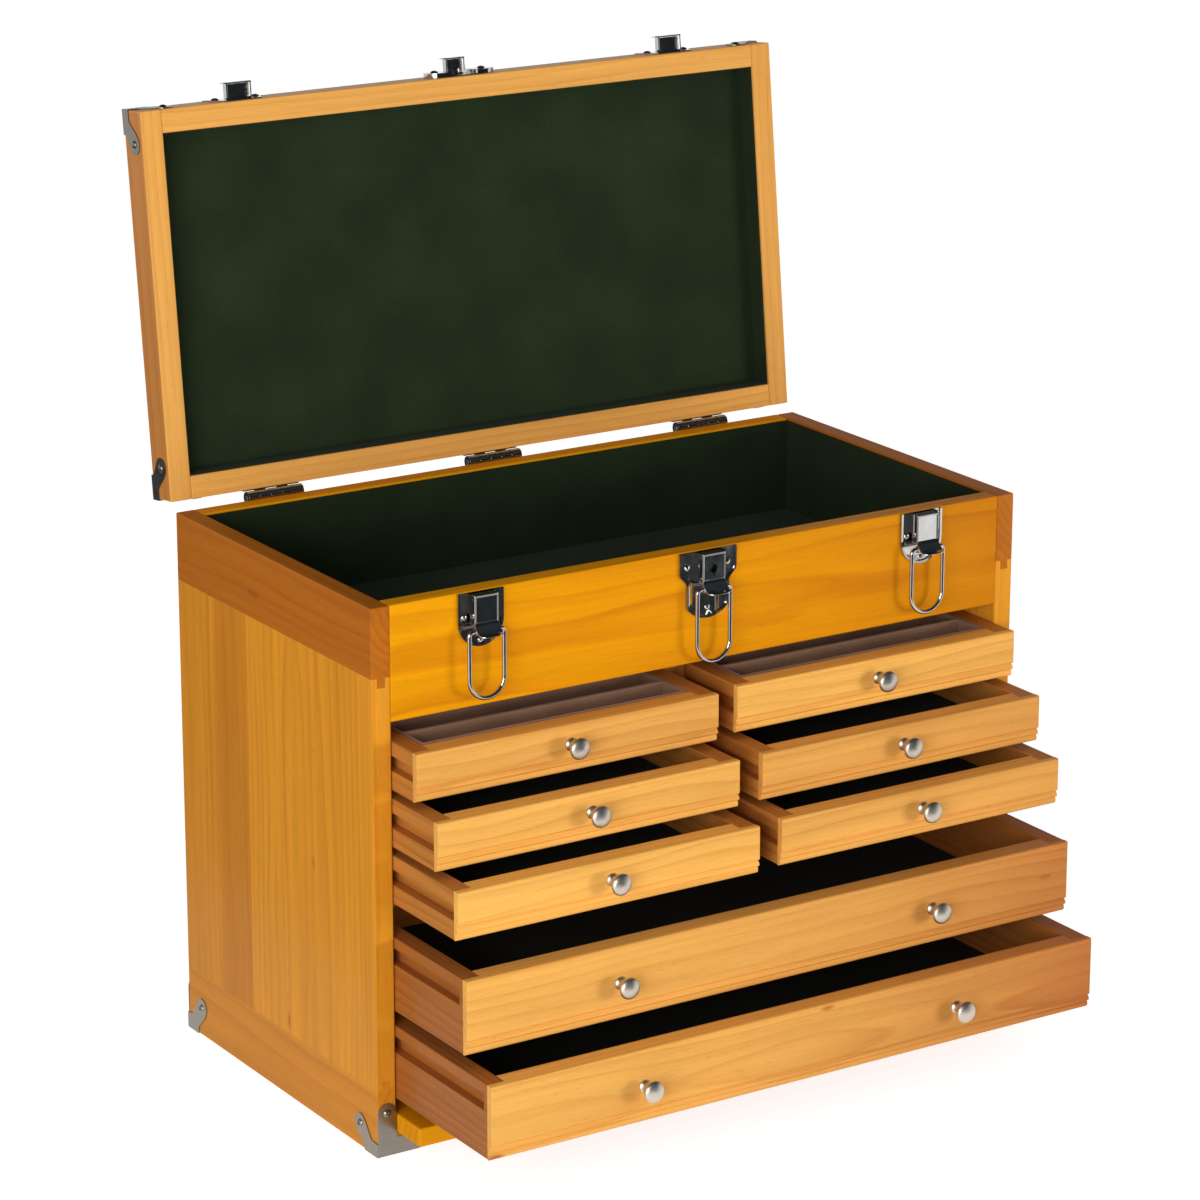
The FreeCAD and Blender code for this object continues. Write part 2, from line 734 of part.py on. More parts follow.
def catch_set(centre, is_lock):
    """Catch plate with a hook that the raised bail drops over, its screws and their holes."""
    length = lock_bail_length if is_lock else latch_bail_length
    half = (lock_catch_hook_width if is_lock else catch_hook_width) / 2
    bend_inside = bail_half_width - bail_wire_radius
    shelf_z = curl_z + length - bail_half_width + math.sqrt(bend_inside ** 2 - half ** 2) - catch_bar_gap
    plate_low = lid_low + catch_plate_rise
    plate_top = plate_low + catch_plate_height
    lip_out = curl_y - bail_wire_radius - catch_lip_gap - sheet_thickness
    shelf = box(centre - half, centre + half, lip_out, front, shelf_z - sheet_thickness, shelf_z)
    lip = box(centre - half, centre + half, lip_out, lip_out + sheet_thickness, shelf_z - sheet_thickness,
              shelf_z + catch_lip_height)
    cheeks = []
    for side in (-1, 1):
        x0 = min(centre + side * half, centre + side * (half - sheet_thickness))
        cheeks.append(prism([Vector(x0, front, shelf_z), Vector(x0, lip_out, shelf_z),
                             Vector(x0, lip_out, shelf_z - sheet_thickness),
                             Vector(x0, front, shelf_z - catch_gusset_drop)], Vector(sheet_thickness, 0, 0)))
    if is_lock:
        face = front - lock_catch_wing_thickness
        screw_side, screw_drop = lock_catch_screw_side, lock_catch_screw_drop
        flat_half = lock_catch_plate_width / 2 - lock_catch_wing_width
        flat = box(centre - flat_half, centre + flat_half, front - sheet_thickness, front,
                   plate_low, plate_top)
        shape = joined([flat] + catch_wings(centre, plate_low, plate_top) + [shelf, lip] + cheeks)
    else:
        face = front - sheet_thickness
        screw_side, screw_drop = catch_screw_side, catch_screw_drop
        flat = catch_plate(centre, catch_plate_width, plate_low, plate_top, sheet_thickness)
        shape = joined([flat, shelf, lip] + cheeks)
    places = [Vector(centre + side * screw_side, face, plate_top - screw_drop) for side in (-1, 1)]
    holes = [fixing_hole(place, outward_front) for place in places]
    return drilled(shape, holes), [screw(place, outward_front) for place in places], holes


catches = []
catch_holes = []
for centre, is_lock in ((-latch_spacing, False), (0, True), (latch_spacing, False)):
    plate, screws, holes = catch_set(centre, is_lock)
    catches.extend([plate] + screws)
    catch_holes.extend(holes)
save("lid_catches", group([open_lid(piece) for piece in catches]))

# Case sides: an upright panel between two cross cleats, joined by tongues in grooves.


def side_board(x0, holes):
    """Panel and two cleats of one side."""
    x1 = x0 + side_thickness
    middle = (x0 + x1) / 2
    panel_low_z = bottom_cleat_height
    panel_top_z = case_height - top_cleat_height
    tongue_x0 = middle - cleat_tongue_thickness / 2
    tongue_x1 = middle + cleat_tongue_thickness / 2
    low_tongue = box(tongue_x0, tongue_x1, front, back, panel_low_z, panel_low_z + cleat_tongue_depth)
    top_tongue = box(tongue_x0, tongue_x1, front, back, panel_top_z - cleat_tongue_depth, panel_top_z)
    panel = box(x0, x1, front, back, panel_low_z, panel_top_z).cut(low_tongue).cut(top_tongue)
    low_cleat = joined([box(x0, x1, front, back, 0, panel_low_z), low_tongue])
    top_cleat = joined([box(x0, x1, front, back, panel_top_z, case_height), top_tongue])
    return group([panel, drilled(low_cleat, holes), top_cleat])


left_holes = [hole for hole in case_guard_holes if hole.BoundBox.Center.x < 0]
right_holes = [hole for hole in case_guard_holes if hole.BoundBox.Center.x > 0]
save("side_left", side_board(left, left_holes))
save("side_right", side_board(inner_right, right_holes))

# Boards between the sides
till_front_back = front + till_front_thickness
till_floor_top = till_bottom + till_floor_thickness
till_front = box(inner_left, inner_right, front, till_front_back, till_bottom, case_height)
save("till_front_board", drilled(till_front, latch_holes))
back_panel = box(inner_left, inner_right, inner_back, back, 0, case_height)
save("back_panel", drilled(back_panel, case_leaf_holes + case_guard_holes))
save("till_floor", box(inner_left, inner_right, till_front_back, inner_back, till_bottom, till_floor_top))
base_board = box(inner_left, inner_right, front, inner_back, 0, base_thickness)
save("base_board", drilled(base_board, case_guard_holes))
slot_cover = box(inner_left, inner_right, drawer_closed_front, inner_back, slot_top, slot_cover_top)
shelf = box(inner_left, inner_right, drawer_closed_front, inner_back, shelf_low, shelf_top)
save("dust_panels", group([slot_cover, shelf]))
save("centre_divider", box(-divider_thickness / 2, divider_thickness / 2, drawer_closed_front, inner_back,
                           shelf_top, till_bottom))

# Baize in the till: a floor piece and four wall pieces
lining_top = case_height - lining_below_rim
lining_low = till_floor_top + lining_thickness
lining = [box(inner_left, inner_right, till_front_back, inner_back, till_floor_top, lining_low)]
for y0 in (till_front_back, inner_back - lining_thickness):
    lining.append(box(inner_left, inner_right, y0, y0 + lining_thickness, lining_low, lining_top))
for x0 in (inner_left, inner_right - lining_thickness):
    lining.append(box(x0, x0 + lining_thickness, till_front_back + lining_thickness,
                      inner_back - lining_thickness, lining_low, lining_top))
save("till_lining", group(lining))

# Front panel: as high as the opening that it closes, so it stands out of its slot
panel_length = till_bottom - base_thickness - panel_height_gap
panel_back = inner_back - panel_end_gap
front_panel = box(inner_left + panel_width_gap / 2, inner_right - panel_width_gap / 2,
                  panel_back - panel_length, panel_back, panel_low, panel_low + panel_thickness)
save("front_panel", front_panel)

# Drawers
small_width = (inner_right - inner_left - divider_thickness) / 2 - 2 * drawer_side_gap
small_left_x = inner_left + drawer_side_gap
small_right_x = divider_thickness / 2 + drawer_side_gap
wide_width = inner_right - inner_left - 2 * drawer_side_gap
runner_reach = drawer_side_gap + groove_depth - runner_depth_gap


def moulded_front(x0, width, face_y, z0, height):
    """Front board with a quirk, a bead and a set-back lower strip, rabbeted for the sides."""
    bead_top = quirk_height - quirk_opening
    bead_low = bead_top - bead_height
    cove_low = bead_low - quirk_opening / 2
    back_y = face_y + drawer_front_thickness
    section = [(face_round, height), (0, height - face_round), (0, quirk_height),
               (quirk_depth, quirk_height - quirk_opening / 2), (bead_setback + face_round / 3, bead_top),
               (bead_setback, bead_top - bead_height / 3), (bead_setback, bead_low + bead_height / 3),
               (quirk_depth, bead_low), (strip_setback, cove_low), (strip_setback, toe_round),
               (strip_setback + toe_round / 3, toe_round / 3), (strip_setback + toe_round, 0)]
    points = [Vector(x0, face_y + depth, z0 + up) for depth, up in section]
    points += [Vector(x0, back_y, z0), Vector(x0, back_y, z0 + height)]
    board = prism(points, Vector(width, 0, 0))
    for near in (x0, x0 + width - drawer_side_thickness):
        board = board.cut(box(near, near + drawer_side_thickness, face_y + drawer_front_lap, back_y + overrun,
                              z0 - overrun, z0 + height + overrun))
    return board


knob_head_shares = ((0.88, 0.10), (1, 0.32), (0.97, 0.52), (0.85, 0.72), (0.62, 0.88), (0.32, 0.97))


def knob(place):
    """Turned knob on the front face: a foot, a neck and a mushroom head."""
    shoulder = knob_projection - knob_head_height
    profile = [(0, 0), (knob_foot_radius, 0), (knob_foot_radius, knob_foot_height / 2),
               (knob_collar_radius, knob_foot_height),
               (knob_neck_radius, knob_foot_height + knob_collar_height / 2),
               (knob_neck_radius, shoulder - knob_collar_height), (knob_collar_radius, shoulder)]
    profile += [(knob_head_radius * wide, shoulder + knob_head_height * up) for wide, up in knob_head_shares]
    profile.append((0, knob_projection))
    points = [Vector(radius, 0, out) for radius, out in profile]
    outline = Part.Face(Part.makePolygon(points + [points[0]]))
    solid = outline.revolve(Vector(0, 0, 0), Vector(0, 0, 1), 360)
    solid.rotate(Vector(0, 0, 0), Vector(1, 0, 0), 90)
    solid.translate(place)
    socket = rod(place - outward_front * overrun, outward_front, knob_screw_radius + screw_hole_gap,
                 knob_screw_reach + screw_hole_gap + overrun)
    return solid.cut(socket)


def knob_screw(place):
    """Screw through the front board from inside the drawer into the knob."""
    inside = place - outward_front * drawer_front_thickness
    shank = rod(inside, outward_front, knob_screw_radius, drawer_front_thickness + knob_screw_reach)
    head = rod(inside, -outward_front, knob_screw_head_radius, knob_screw_head_height)
    return shank.fuse(head).removeSplitter()


def drawer_tray(x0, x1, y0, y1, z0, z1):
    """Tray with long compartments from side to side."""
    shape = box(x0, x1, y0, y1, z0, z1)
    inner_depth = y1 - y0 - 2 * tray_wall
    count = max(1, round((inner_depth + tray_wall) / (tray_compartment_depth + tray_wall)))
    pocket_depth = (inner_depth + tray_wall) / count - tray_wall
    for number in range(count):
        near = y0 + tray_wall + number * (pocket_depth + tray_wall)
        shape = shape.cut(box(x0 + tray_wall, x1 - tray_wall, near, near + pocket_depth,
                              z0 + tray_floor, z1 + overrun))
    return shape


def make_drawer(name, x0, width, z0, height, pull, knob_places, knob_height, groove, stopped, with_tray):
    """Front, box, liner and knobs of one drawer at its place in the photograph's pose."""
    face_y = front - pull
    end_y = face_y + drawer_length
    x1 = x0 + width
    lap_y = face_y + drawer_front_lap
    inside_y0 = face_y + drawer_front_thickness
    inside_y1 = end_y - drawer_back_thickness
    inside_x0 = x0 + drawer_side_thickness
    inside_x1 = x1 - drawer_side_thickness
    places = [Vector(x, face_y, z0 + knob_height) for x in knob_places]
    board = moulded_front(x0, width, face_y, z0, height)
    hole_length = drawer_front_thickness + 2 * overrun
    board = drilled(board, [rod(place - outward_front * (drawer_front_thickness + overrun), outward_front,
                                knob_screw_radius + screw_hole_gap, hole_length) for place in places])
    save(name + "_front", board)
    groove_drop, groove_height = groove
    groove_top = z0 + height - groove_drop
    groove_start = lap_y + wide_groove_stop if stopped else lap_y - overrun
    sides = []
    for near, cut_x in ((x0, x0 - overrun), (inside_x1, x1 - groove_depth)):
        side = box(near, near + drawer_side_thickness, lap_y, end_y, z0, z0 + height)
        sides.append(side.cut(box(cut_x, cut_x + groove_depth + overrun, groove_start, end_y + overrun,
                                  groove_top - groove_height, groove_top)))
    floor_z = z0 + drawer_bottom_rise + drawer_bottom_thickness
    back_board = box(inside_x0, inside_x1, inside_y1, end_y, z0, z0 + height)
    bottom = box(inside_x0, inside_x1, inside_y0, inside_y1, z0 + drawer_bottom_rise, floor_z)
    save(name + "_box", group(sides + [back_board, bottom]))
    if with_tray:
        liner = drawer_tray(inside_x0 + tray_fit_gap, inside_x1 - tray_fit_gap,
                            inside_y0 + knob_screw_head_height + tray_fit_gap, inside_y1 - tray_fit_gap,
                            floor_z, z0 + height)
    else:
        liner = box(inside_x0 + felt_edge_gap, inside_x1 - felt_edge_gap, inside_y0 + felt_edge_gap,
                    inside_y1 - felt_edge_gap, floor_z, floor_z + felt_thickness)
    save(name + "_liner", liner)
    save(name + "_knob", group([knob(place) for place in places] + [knob_screw(place) for place in places]))


small_groove = (small_groove_drop, small_groove_height)
wide_groove = (wide_groove_drop, wide_groove_height)
left_knob_x = small_left_x + small_width / 2
right_knob_x = small_right_x + small_width / 2
for row, level in enumerate(("top", "middle", "bottom")):
    make_drawer("drawer_left_" + level, small_left_x, small_width, small_z[row], small_drawer_height,
                pull_left[row], [left_knob_x], small_knob_height, small_groove, False, row == 0)
    make_drawer("drawer_right_" + level, small_right_x, small_width, small_z[row], small_drawer_height,
                pull_right[row], [right_knob_x], small_knob_height, small_groove, False, row == 0)
for row, level in enumerate(("upper", "lower")):
    make_drawer("drawer_wide_" + level, small_left_x, wide_width, wide_z[row], wide_drawer_height,
                pull_wide[row], [left_knob_x, right_knob_x], wide_knob_height, wide_groove, True, False)

# Runners on the sides and on both faces of the divider
small_runner_y0 = drawer_closed_front + drawer_front_lap + runner_front_gap
wide_runner_y0 = small_runner_y0 + wide_groove_stop
runner_y1 = inner_back - runner_back_gap
runners = []


def add_runners(faces, levels, height, drop, groove_height, runner_y0):
    """Strips that fill the drawer grooves; a face is a place and the way the strip stands out."""
    for z0 in levels:
        top = z0 + height - drop - runner_top_gap
        low = top - groove_height + runner_top_gap + runner_bottom_gap
        for face_x, way in faces:
            x0 = min(face_x, face_x + way * runner_reach)
            runners.append(box(x0, x0 + runner_reach, runner_y0, runner_y1, low, top))


half_divider = divider_thickness / 2
add_runners(((inner_left, 1), (-half_divider, -1), (half_divider, 1), (inner_right, -1)),
            small_z, small_drawer_height, small_groove_drop, small_groove_height, small_runner_y0)
add_runners(((inner_left, 1), (inner_right, -1)), wide_z, wide_drawer_height, wide_groove_drop,
            wide_groove_height, wide_runner_y0)
save("drawer_runners", group(runners))

# Lid, drawn closed and then opened: short rails full depth, long rails between them, a panel and a lining
rail_in_x0 = left + lid_rail_width
rail_in_x1 = right - lid_rail_width
rail_in_y0 = front + lid_rail_width
rail_in_y1 = back - lid_rail_width
lid_holes = lid_guard_holes + lid_leaf_holes + catch_holes
rails = [box(left, rail_in_x0, front, back, lid_low, lid_top),
         box(rail_in_x1, right, front, back, lid_low, lid_top),
         box(rail_in_x0, rail_in_x1, front, rail_in_y0, lid_low, lid_top),
         box(rail_in_x0, rail_in_x1, rail_in_y1, back, lid_low, lid_top)]
save("lid_frame", group([open_lid(drilled(rail, lid_holes)) for rail in rails]))
lid_panel_low = lid_top - lid_panel_thickness
lid_panel = box(rail_in_x0, rail_in_x1, rail_in_y0, rail_in_y1, lid_panel_low, lid_top)
save("lid_panel", open_lid(lid_panel))
lid_lining_low = lid_low + lining_below_rim
lid_lining_top = lid_panel_low - lining_thickness
lid_lining = [box(rail_in_x0, rail_in_x1, rail_in_y0, rail_in_y1, lid_lining_top, lid_panel_low)]
for y0 in (rail_in_y0, rail_in_y1 - lining_thickness):
    lid_lining.append(box(rail_in_x0, rail_in_x1, y0, y0 + lining_thickness, lid_lining_low, lid_lining_top))
for x0 in (rail_in_x0, rail_in_x1 - lining_thickness):
    lid_lining.append(box(x0, x0 + lining_thickness, rail_in_y0 + lining_thickness,
                          rail_in_y1 - lining_thickness, lid_lining_low, lid_lining_top))
save("lid_lining", group([open_lid(piece) for piece in lid_lining]))
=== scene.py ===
import math
import random

import bpy
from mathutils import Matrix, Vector


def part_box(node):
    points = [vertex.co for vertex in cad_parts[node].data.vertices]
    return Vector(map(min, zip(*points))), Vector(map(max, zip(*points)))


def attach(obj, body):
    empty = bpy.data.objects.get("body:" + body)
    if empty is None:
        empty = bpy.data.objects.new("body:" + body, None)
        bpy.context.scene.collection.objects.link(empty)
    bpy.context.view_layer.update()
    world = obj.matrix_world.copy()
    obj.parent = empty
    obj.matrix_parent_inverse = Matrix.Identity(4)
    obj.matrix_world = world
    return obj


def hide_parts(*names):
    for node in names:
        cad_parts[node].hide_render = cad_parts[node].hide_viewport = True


# Wooden machinist's toolbox: varnished pine, green baize, nickel-plated fittings.
# +X is to the right, the front faces -Y, +Z is up, and all lengths are in metres.
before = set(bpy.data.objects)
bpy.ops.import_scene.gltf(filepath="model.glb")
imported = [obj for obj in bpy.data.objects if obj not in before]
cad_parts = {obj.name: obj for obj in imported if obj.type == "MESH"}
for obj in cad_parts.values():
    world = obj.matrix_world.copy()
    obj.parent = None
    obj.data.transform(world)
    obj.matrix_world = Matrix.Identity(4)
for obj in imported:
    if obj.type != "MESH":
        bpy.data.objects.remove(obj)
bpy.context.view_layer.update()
MM = 0.001


# Case sides: an upright panel glued up from pine strips, between two cross cleats of darker pine.
# Each cleat's tongue sits in a groove of the panel and shows as a T on the front and back edges.
# Planed flush, edges eased by hand, amber varnish.
edge_ease = 0.9 * MM
top_cleat = 47 * MM
low_cleat = 46 * MM
tongue_depth = 6.5 * MM
tongue_thickness = 6 * MM
# Joints between the strips, from the back edge forward
strip_joints = (53 * MM, 97 * MM, 141 * MM, 190 * MM)
# Each strip's tone, and how far its heart lies aside of it: most are cut with their rings standing, which gives
# fine straight lines, and one shows open arches
strip_looks = ((0.2, 40 * MM), (0.4, 22 * MM), (0.0, -28 * MM), (0.05, 6 * MM), (0.05, 38 * MM))
trees = random.Random(11)


def add(tree, kind, settings=None, links=None):
    """Add one shader node with its settings and what feeds it."""
    made = tree.nodes.new(kind)
    for name, value in (settings or {}).items():
        if isinstance(name, str) and hasattr(made, name):
            setattr(made, name, value)
        else:
            made.inputs[name].default_value = value
    for name, source in (links or {}).items():
        tree.links.new(source, made.inputs[name])
    return made


def linear(code):
    """Linear colour of an sRGB hex value."""
    parts = [int(code[place:place + 2], 16) / 255 for place in (1, 3, 5)]
    return [part / 12.92 if part <= 0.04045 else ((part + 0.055) / 1.055) ** 2.4 for part in parts] + [1]


def pick(*pieces):
    """Leave only these pieces selected, the first one active."""
    bpy.ops.object.select_all(action="DESELECT")
    for piece in pieces:
        piece.select_set(True)
    if pieces:
        bpy.context.view_layer.objects.active = pieces[0]


def block(low, high):
    """A cube drawn between two corners."""
    pick()
    low, high = Vector(low), Vector(high)
    bpy.ops.mesh.primitive_cube_add(size=1, location=(low + high) / 2, scale=high - low)
    bpy.ops.object.transform_apply(location=True, rotation=True, scale=True)
    return bpy.context.object


def opened(piece, kind="FACE", chosen=None):
    """Open a piece for editing with its chosen faces or edges selected; the test is given their middle."""
    pick(piece)
    mesh = piece.data
    bpy.ops.object.mode_set(mode="EDIT")
    bpy.ops.mesh.select_mode(type=kind)
    bpy.ops.mesh.select_all(action="DESELECT" if chosen else "SELECT")
    if chosen:
        bpy.ops.object.mode_set(mode="OBJECT")
        for part in mesh.polygons if kind == "FACE" else mesh.edges:
            points = [mesh.vertices[number].co for number in part.vertices]
            middle = sum(points, Vector()) / len(points)
            line = part.normal if kind == "FACE" else (points[1] - points[0]).normalized()
            if chosen(middle, line):
                part.select = True
        bpy.ops.object.mode_set(mode="EDIT")


def eased(piece, width, segments=2, chosen=None):
    """Round the chosen edges of a piece, or all of them."""
    opened(piece, "EDGE", chosen)
    bpy.ops.mesh.bevel(offset=width, segments=segments, affect="EDGES")
    bpy.ops.object.mode_set(mode="OBJECT")
    return piece


def scribed(piece, place, normal):
    """Part the faces of a piece along a plane, so that each side can be marked on its own."""
    opened(piece)
    bpy.ops.mesh.bisect(plane_co=place, plane_no=normal)
    bpy.ops.object.mode_set(mode="OBJECT")


def mark_grain(piece, along, heart, tone, chosen=None):
    """Write where each corner of a board lies in its tree: along the trunk, and across from its heart."""
    mesh = piece.data
    if "grain" not in mesh.attributes:
        mesh.attributes.new("grain", "FLOAT_VECTOR", "CORNER")
        mesh.attributes.new("tone", "FLOAT", "CORNER")
    grain, depth = mesh.attributes["grain"], mesh.attributes["tone"]
    trunk, first, second = {"X": (0, 1, 2), "Y": (1, 0, 2), "Z": (2, 0, 1)}[along]
    place_in_trunk = trees.uniform(0, 20)
    for face in mesh.polygons:
        if chosen is None or chosen(face.center):
            for corner in face.loop_indices:
                point = mesh.vertices[mesh.loops[corner].vertex_index].co
                grain.data[corner].vector = (point[trunk] + place_in_trunk, point[first] - heart[0],
                                             point[second] - heart[1])
                depth.data[corner].value = tone


def toned_and_shaded(piece, left_tone, right_tone):
    """Add tone to a whole piece, from one value at its left end to another at its right end: the board's own tone,
    and painted shade where it deepens toward the right.
    """
    depth = piece.data.attributes["tone"]
    ends = [corner[0] for corner in piece.bound_box]
    for loop in piece.data.loops:
        share = (piece.data.vertices[loop.vertex_index].co.x - min(ends)) / (max(ends) - min(ends))
        depth.data[loop.index].value += left_tone + (right_tone - left_tone) * share ** 2


def fitted(parts, name, material, body, nodes=(), smooth=0):
    """Join the parts of a piece, finish it and fix it to its body in place of the plain solids."""
    pick(*parts)
    if len(parts) > 1:
        bpy.ops.object.join()
    piece = parts[0]
    piece.name = name
    piece.data.name = name
    piece.data.materials.clear()
    piece.data.materials.append(material)
    if smooth:
        bpy.ops.object.shade_smooth_by_angle(angle=math.radians(smooth))
        # Flat faces stay flat, and only the rolled edges bend the light
        bpy.ops.object.modifier_add(type="WEIGHTED_NORMAL")
        modifier = piece.modifiers[-1]
        modifier.keep_sharp = True
        bpy.ops.object.modifier_apply(modifier=modifier.name)
    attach(piece, body)
    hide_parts(*nodes)
    return piece


def varnished_pine(name, early, late, ring_width, contrast):
    """Pine under amber varnish: soft pale early wood, darker late wood at the end of each ring, short dark
    resin ducts along the grain, and stain taken up unevenly. End grain shows the rings as arcs by itself."""
    material = bpy.data.materials.new(name)
    material.use_nodes = True
    tree = material.node_tree
    shader = tree.nodes["Principled BSDF"]
    grain = add(tree, "ShaderNodeAttribute", {"attribute_name": "grain"}).outputs["Vector"]
    tone = add(tree, "ShaderNodeAttribute", {"attribute_name": "tone"}).outputs["Fac"]

    def noise(along, across, detail):
        """Noise whose features are so many metres long and wide."""
        spread = add(tree, "ShaderNodeMapping", {"Scale": (1 / along, 1 / across, 1 / across)}, {"Vector": grain})
        return add(tree, "ShaderNodeTexNoise", {"Scale": 1, "Detail": detail},
                   {"Vector": spread.outputs[0]}).outputs["Fac"]

    def sum_of(factor, offset, value):
        """value x factor + offset."""
        return add(tree, "ShaderNodeMath", {"operation": "MULTIPLY_ADD", 1: factor, 2: offset},
                   {0: value}).outputs[0]

    # The trunk wanders by a few millimetres over a hand's length
    across = add(tree, "ShaderNodeVectorMath", {"operation": "MULTIPLY", 1: (0, 1, 1)}, {0: grain})
    radius = add(tree, "ShaderNodeVectorMath", {"operation": "LENGTH"}, {0: across.outputs[0]})
    wander = add(tree, "ShaderNodeMath", {"operation": "MULTIPLY_ADD", 1: 14 * MM},
                 {0: noise(0.24, 0.045, 1.5), 2: radius.outputs["Value"]})
    rings = sum_of(1 / ring_width, 0, wander.outputs[0])
    phase = add(tree, "ShaderNodeMath", {"operation": "FRACT"}, {0: rings})
    # How dark the wood is from the start of a ring to its end
    ring_profile = ((0.35, 0.12), (0.72, 0.55), (0.88, 1.0), (0.95, 0.5))
    ring = add(tree, "ShaderNodeValToRGB", {}, {"Fac": phase.outputs[0]})
    stops = ring.color_ramp.elements
    stops[0].color = (0, 0, 0, 1)
    stops[1].color = (0, 0, 0, 1)
    for place, value in ring_profile:
        stops.new(place).color = (value, value, value, 1)
    strength = sum_of(1.5 * contrast, -0.22 * contrast, noise(0.30, 0.03, 1))
    late_share = add(tree, "ShaderNodeMath", {"operation": "MULTIPLY", "use_clamp": True},
                     {0: ring.outputs[0], 1: strength})
    wood = add(tree, "ShaderNodeMix", {"data_type": "RGBA", 6: linear(early), 7: linear(late)},
               {0: late_share.outputs[0]})

    # Fibres about 0.9 mm wide, resin ducts about 8 mm long, and long streaks of stain
    fibre = sum_of(0.22, 0.89, noise(0.05, 0.0009, 2))
    blotch = sum_of(0.36, 0.83, noise(0.20, 0.013, 3))
    duct = add(tree, "ShaderNodeMapRange", {"From Min": 0.68, "From Max": 0.78, "To Min": 1, "To Max": 0.91},
               {"Value": noise(0.008, 0.0008, 0)})
    # Pin knots 3 mm across, one to each cell of wood; their heart and rim are shares of the cell
    knot_cell_along, knot_cell_across = 120 * MM, 40 * MM
    knot_heart, knot_rim = 0.02, 0.07
    cell = add(tree, "ShaderNodeMapping",
               {"Scale": (1 / knot_cell_along, 1 / knot_cell_across, 1 / knot_cell_across)}, {"Vector": grain})
    nearest = add(tree, "ShaderNodeTexVoronoi", {"Scale": 1}, {"Vector": cell.outputs[0]})
    knot = add(tree, "ShaderNodeMapRange",
               {"From Min": knot_heart, "From Max": knot_rim, "To Min": 1, "To Max": 0},
               {"Value": nearest.outputs["Distance"]})
    shade = add(tree, "ShaderNodeMath", {"operation": "MULTIPLY"}, {0: fibre, 1: blotch})
    shade = add(tree, "ShaderNodeMath", {"operation": "MULTIPLY"},
                {0: shade.outputs[0], 1: duct.outputs["Result"]})
    wood = add(tree, "ShaderNodeVectorMath", {"operation": "SCALE"},
               {0: wood.outputs[2], "Scale": shade.outputs[0]})
    # A darker board is redder too, and so is a knot; the tone also carries the painted shade that some boards get
    # toward their right ends
    depth = add(tree, "ShaderNodeMath", {"operation": "ADD"}, {0: tone, 1: knot.outputs["Result"]})
    wood = add(tree, "ShaderNodeMix", {"data_type": "RGBA", "blend_type": "MULTIPLY", 7: linear("#C3A0A8")},
               {0: depth.outputs[0], 6: wood.outputs[0]})
    tree.links.new(wood.outputs[2], shader.inputs["Base Color"])
    rough = sum_of(0.14, 0.30, fibre)
    tree.links.new(rough, shader.inputs["Roughness"])
    relief = add(tree, "ShaderNodeBump", {"Strength": 0.12, "Distance": 0.15 * MM}, {"Height": fibre})
    tree.links.new(relief.outputs[0], shader.inputs["Normal"])
    shader.inputs["Specular IOR Level"].default_value = 0.06
    shader.inputs["Coat Weight"].default_value = 0.12
    shader.inputs["Coat Roughness"].default_value = 0.2
    return material


side_pine = varnished_pine("side_pine_amber_varnish", "#EA9D2A", "#CB7416", 6.0 * MM, 0.65)
for name in ("side_left", "side_right"):
    low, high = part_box(name)
    middle = (low.x + high.x) / 2
    side = eased(block(low, high), edge_ease)
    cleat_joints = (low.z + low_cleat, high.z - top_cleat)
    for z in (*cleat_joints, cleat_joints[0] + tongue_depth, cleat_joints[1] - tongue_depth):
        scribed(side, (0, 0, z), (0, 0, 1))
    for x in (middle - tongue_thickness / 2, middle + tongue_thickness / 2):
        scribed(side, (x, 0, 0), (1, 0, 0))
    for joint in strip_joints:
        scribed(side, (0, high.y - joint, 0), (0, 1, 0))

    def in_cleat(point):
        """True on a cleat or on its tongue."""
        reach = tongue_depth if abs(point.x - middle) < tongue_thickness / 2 and abs(point.y) > high.y - MM else 0
        return point.z < cleat_joints[0] + reach or point.z > cleat_joints[1] - reach

    edges = [0, *strip_joints, high.y - low.y]
    for number, (tone, heart_aside) in enumerate(strip_looks):
        near, far = high.y - edges[number], high.y - edges[number + 1]
        heart = (middle + trees.choice((-1, 1)) * trees.uniform(30, 45) * MM, (near + far) / 2 + heart_aside)
        mark_grain(side, "Z", heart, tone, lambda point: far <= point.y <= near and not in_cleat(point))
    mark_grain(side, "Y", (middle + 55 * MM, high.z + 25 * MM), 0.85,
               lambda point: in_cleat(point) and point.z > high.z / 2)
    mark_grain(side, "Y", (middle + 48 * MM, low.z + 12 * MM), 0.28,
               lambda point: in_cleat(point) and point.z < high.z / 2)
    fitted([side], name + "_boards", side_pine, "case", [name])


# Boards between the sides: the till's front board, which carries the latches, the back, the till's floor,
# the base, the shelf and the slot's cover, and the divider between the small drawers. Plain planed pine.
# The till's front is parted at these shares, so that its painted shade deepens smoothly to the right
till_front_parting = (0.25, 0.5, 0.75)
till_front_heart = (69 * MM, -6 * MM)
# Painted shade: the till's front is darkened from its left end to its right end, as if the light fell off to the
# right
till_front_painted_shade = (0.0, 0.6)
front_pine = varnished_pine("front_pine_deep_amber_varnish", "#F0A002", "#D07206", 7.0 * MM, 0.9)
inner_pine = varnished_pine("inner_pine_amber_varnish", "#D99A45", "#B97430", 5.5 * MM, 0.9)


def board(low, high, along, heart, tone, ease=edge_ease):
    """A planed board between two corners; its heart is measured from the board's middle."""
    piece = eased(block(low, high), ease)
    middle = (Vector(low) + Vector(high)) / 2
    others = [number for number, axis in enumerate("XYZ") if axis != along]
    mark_grain(piece, along, (middle[others[0]] + heart[0], middle[others[1]] + heart[1]), tone)
    return piece


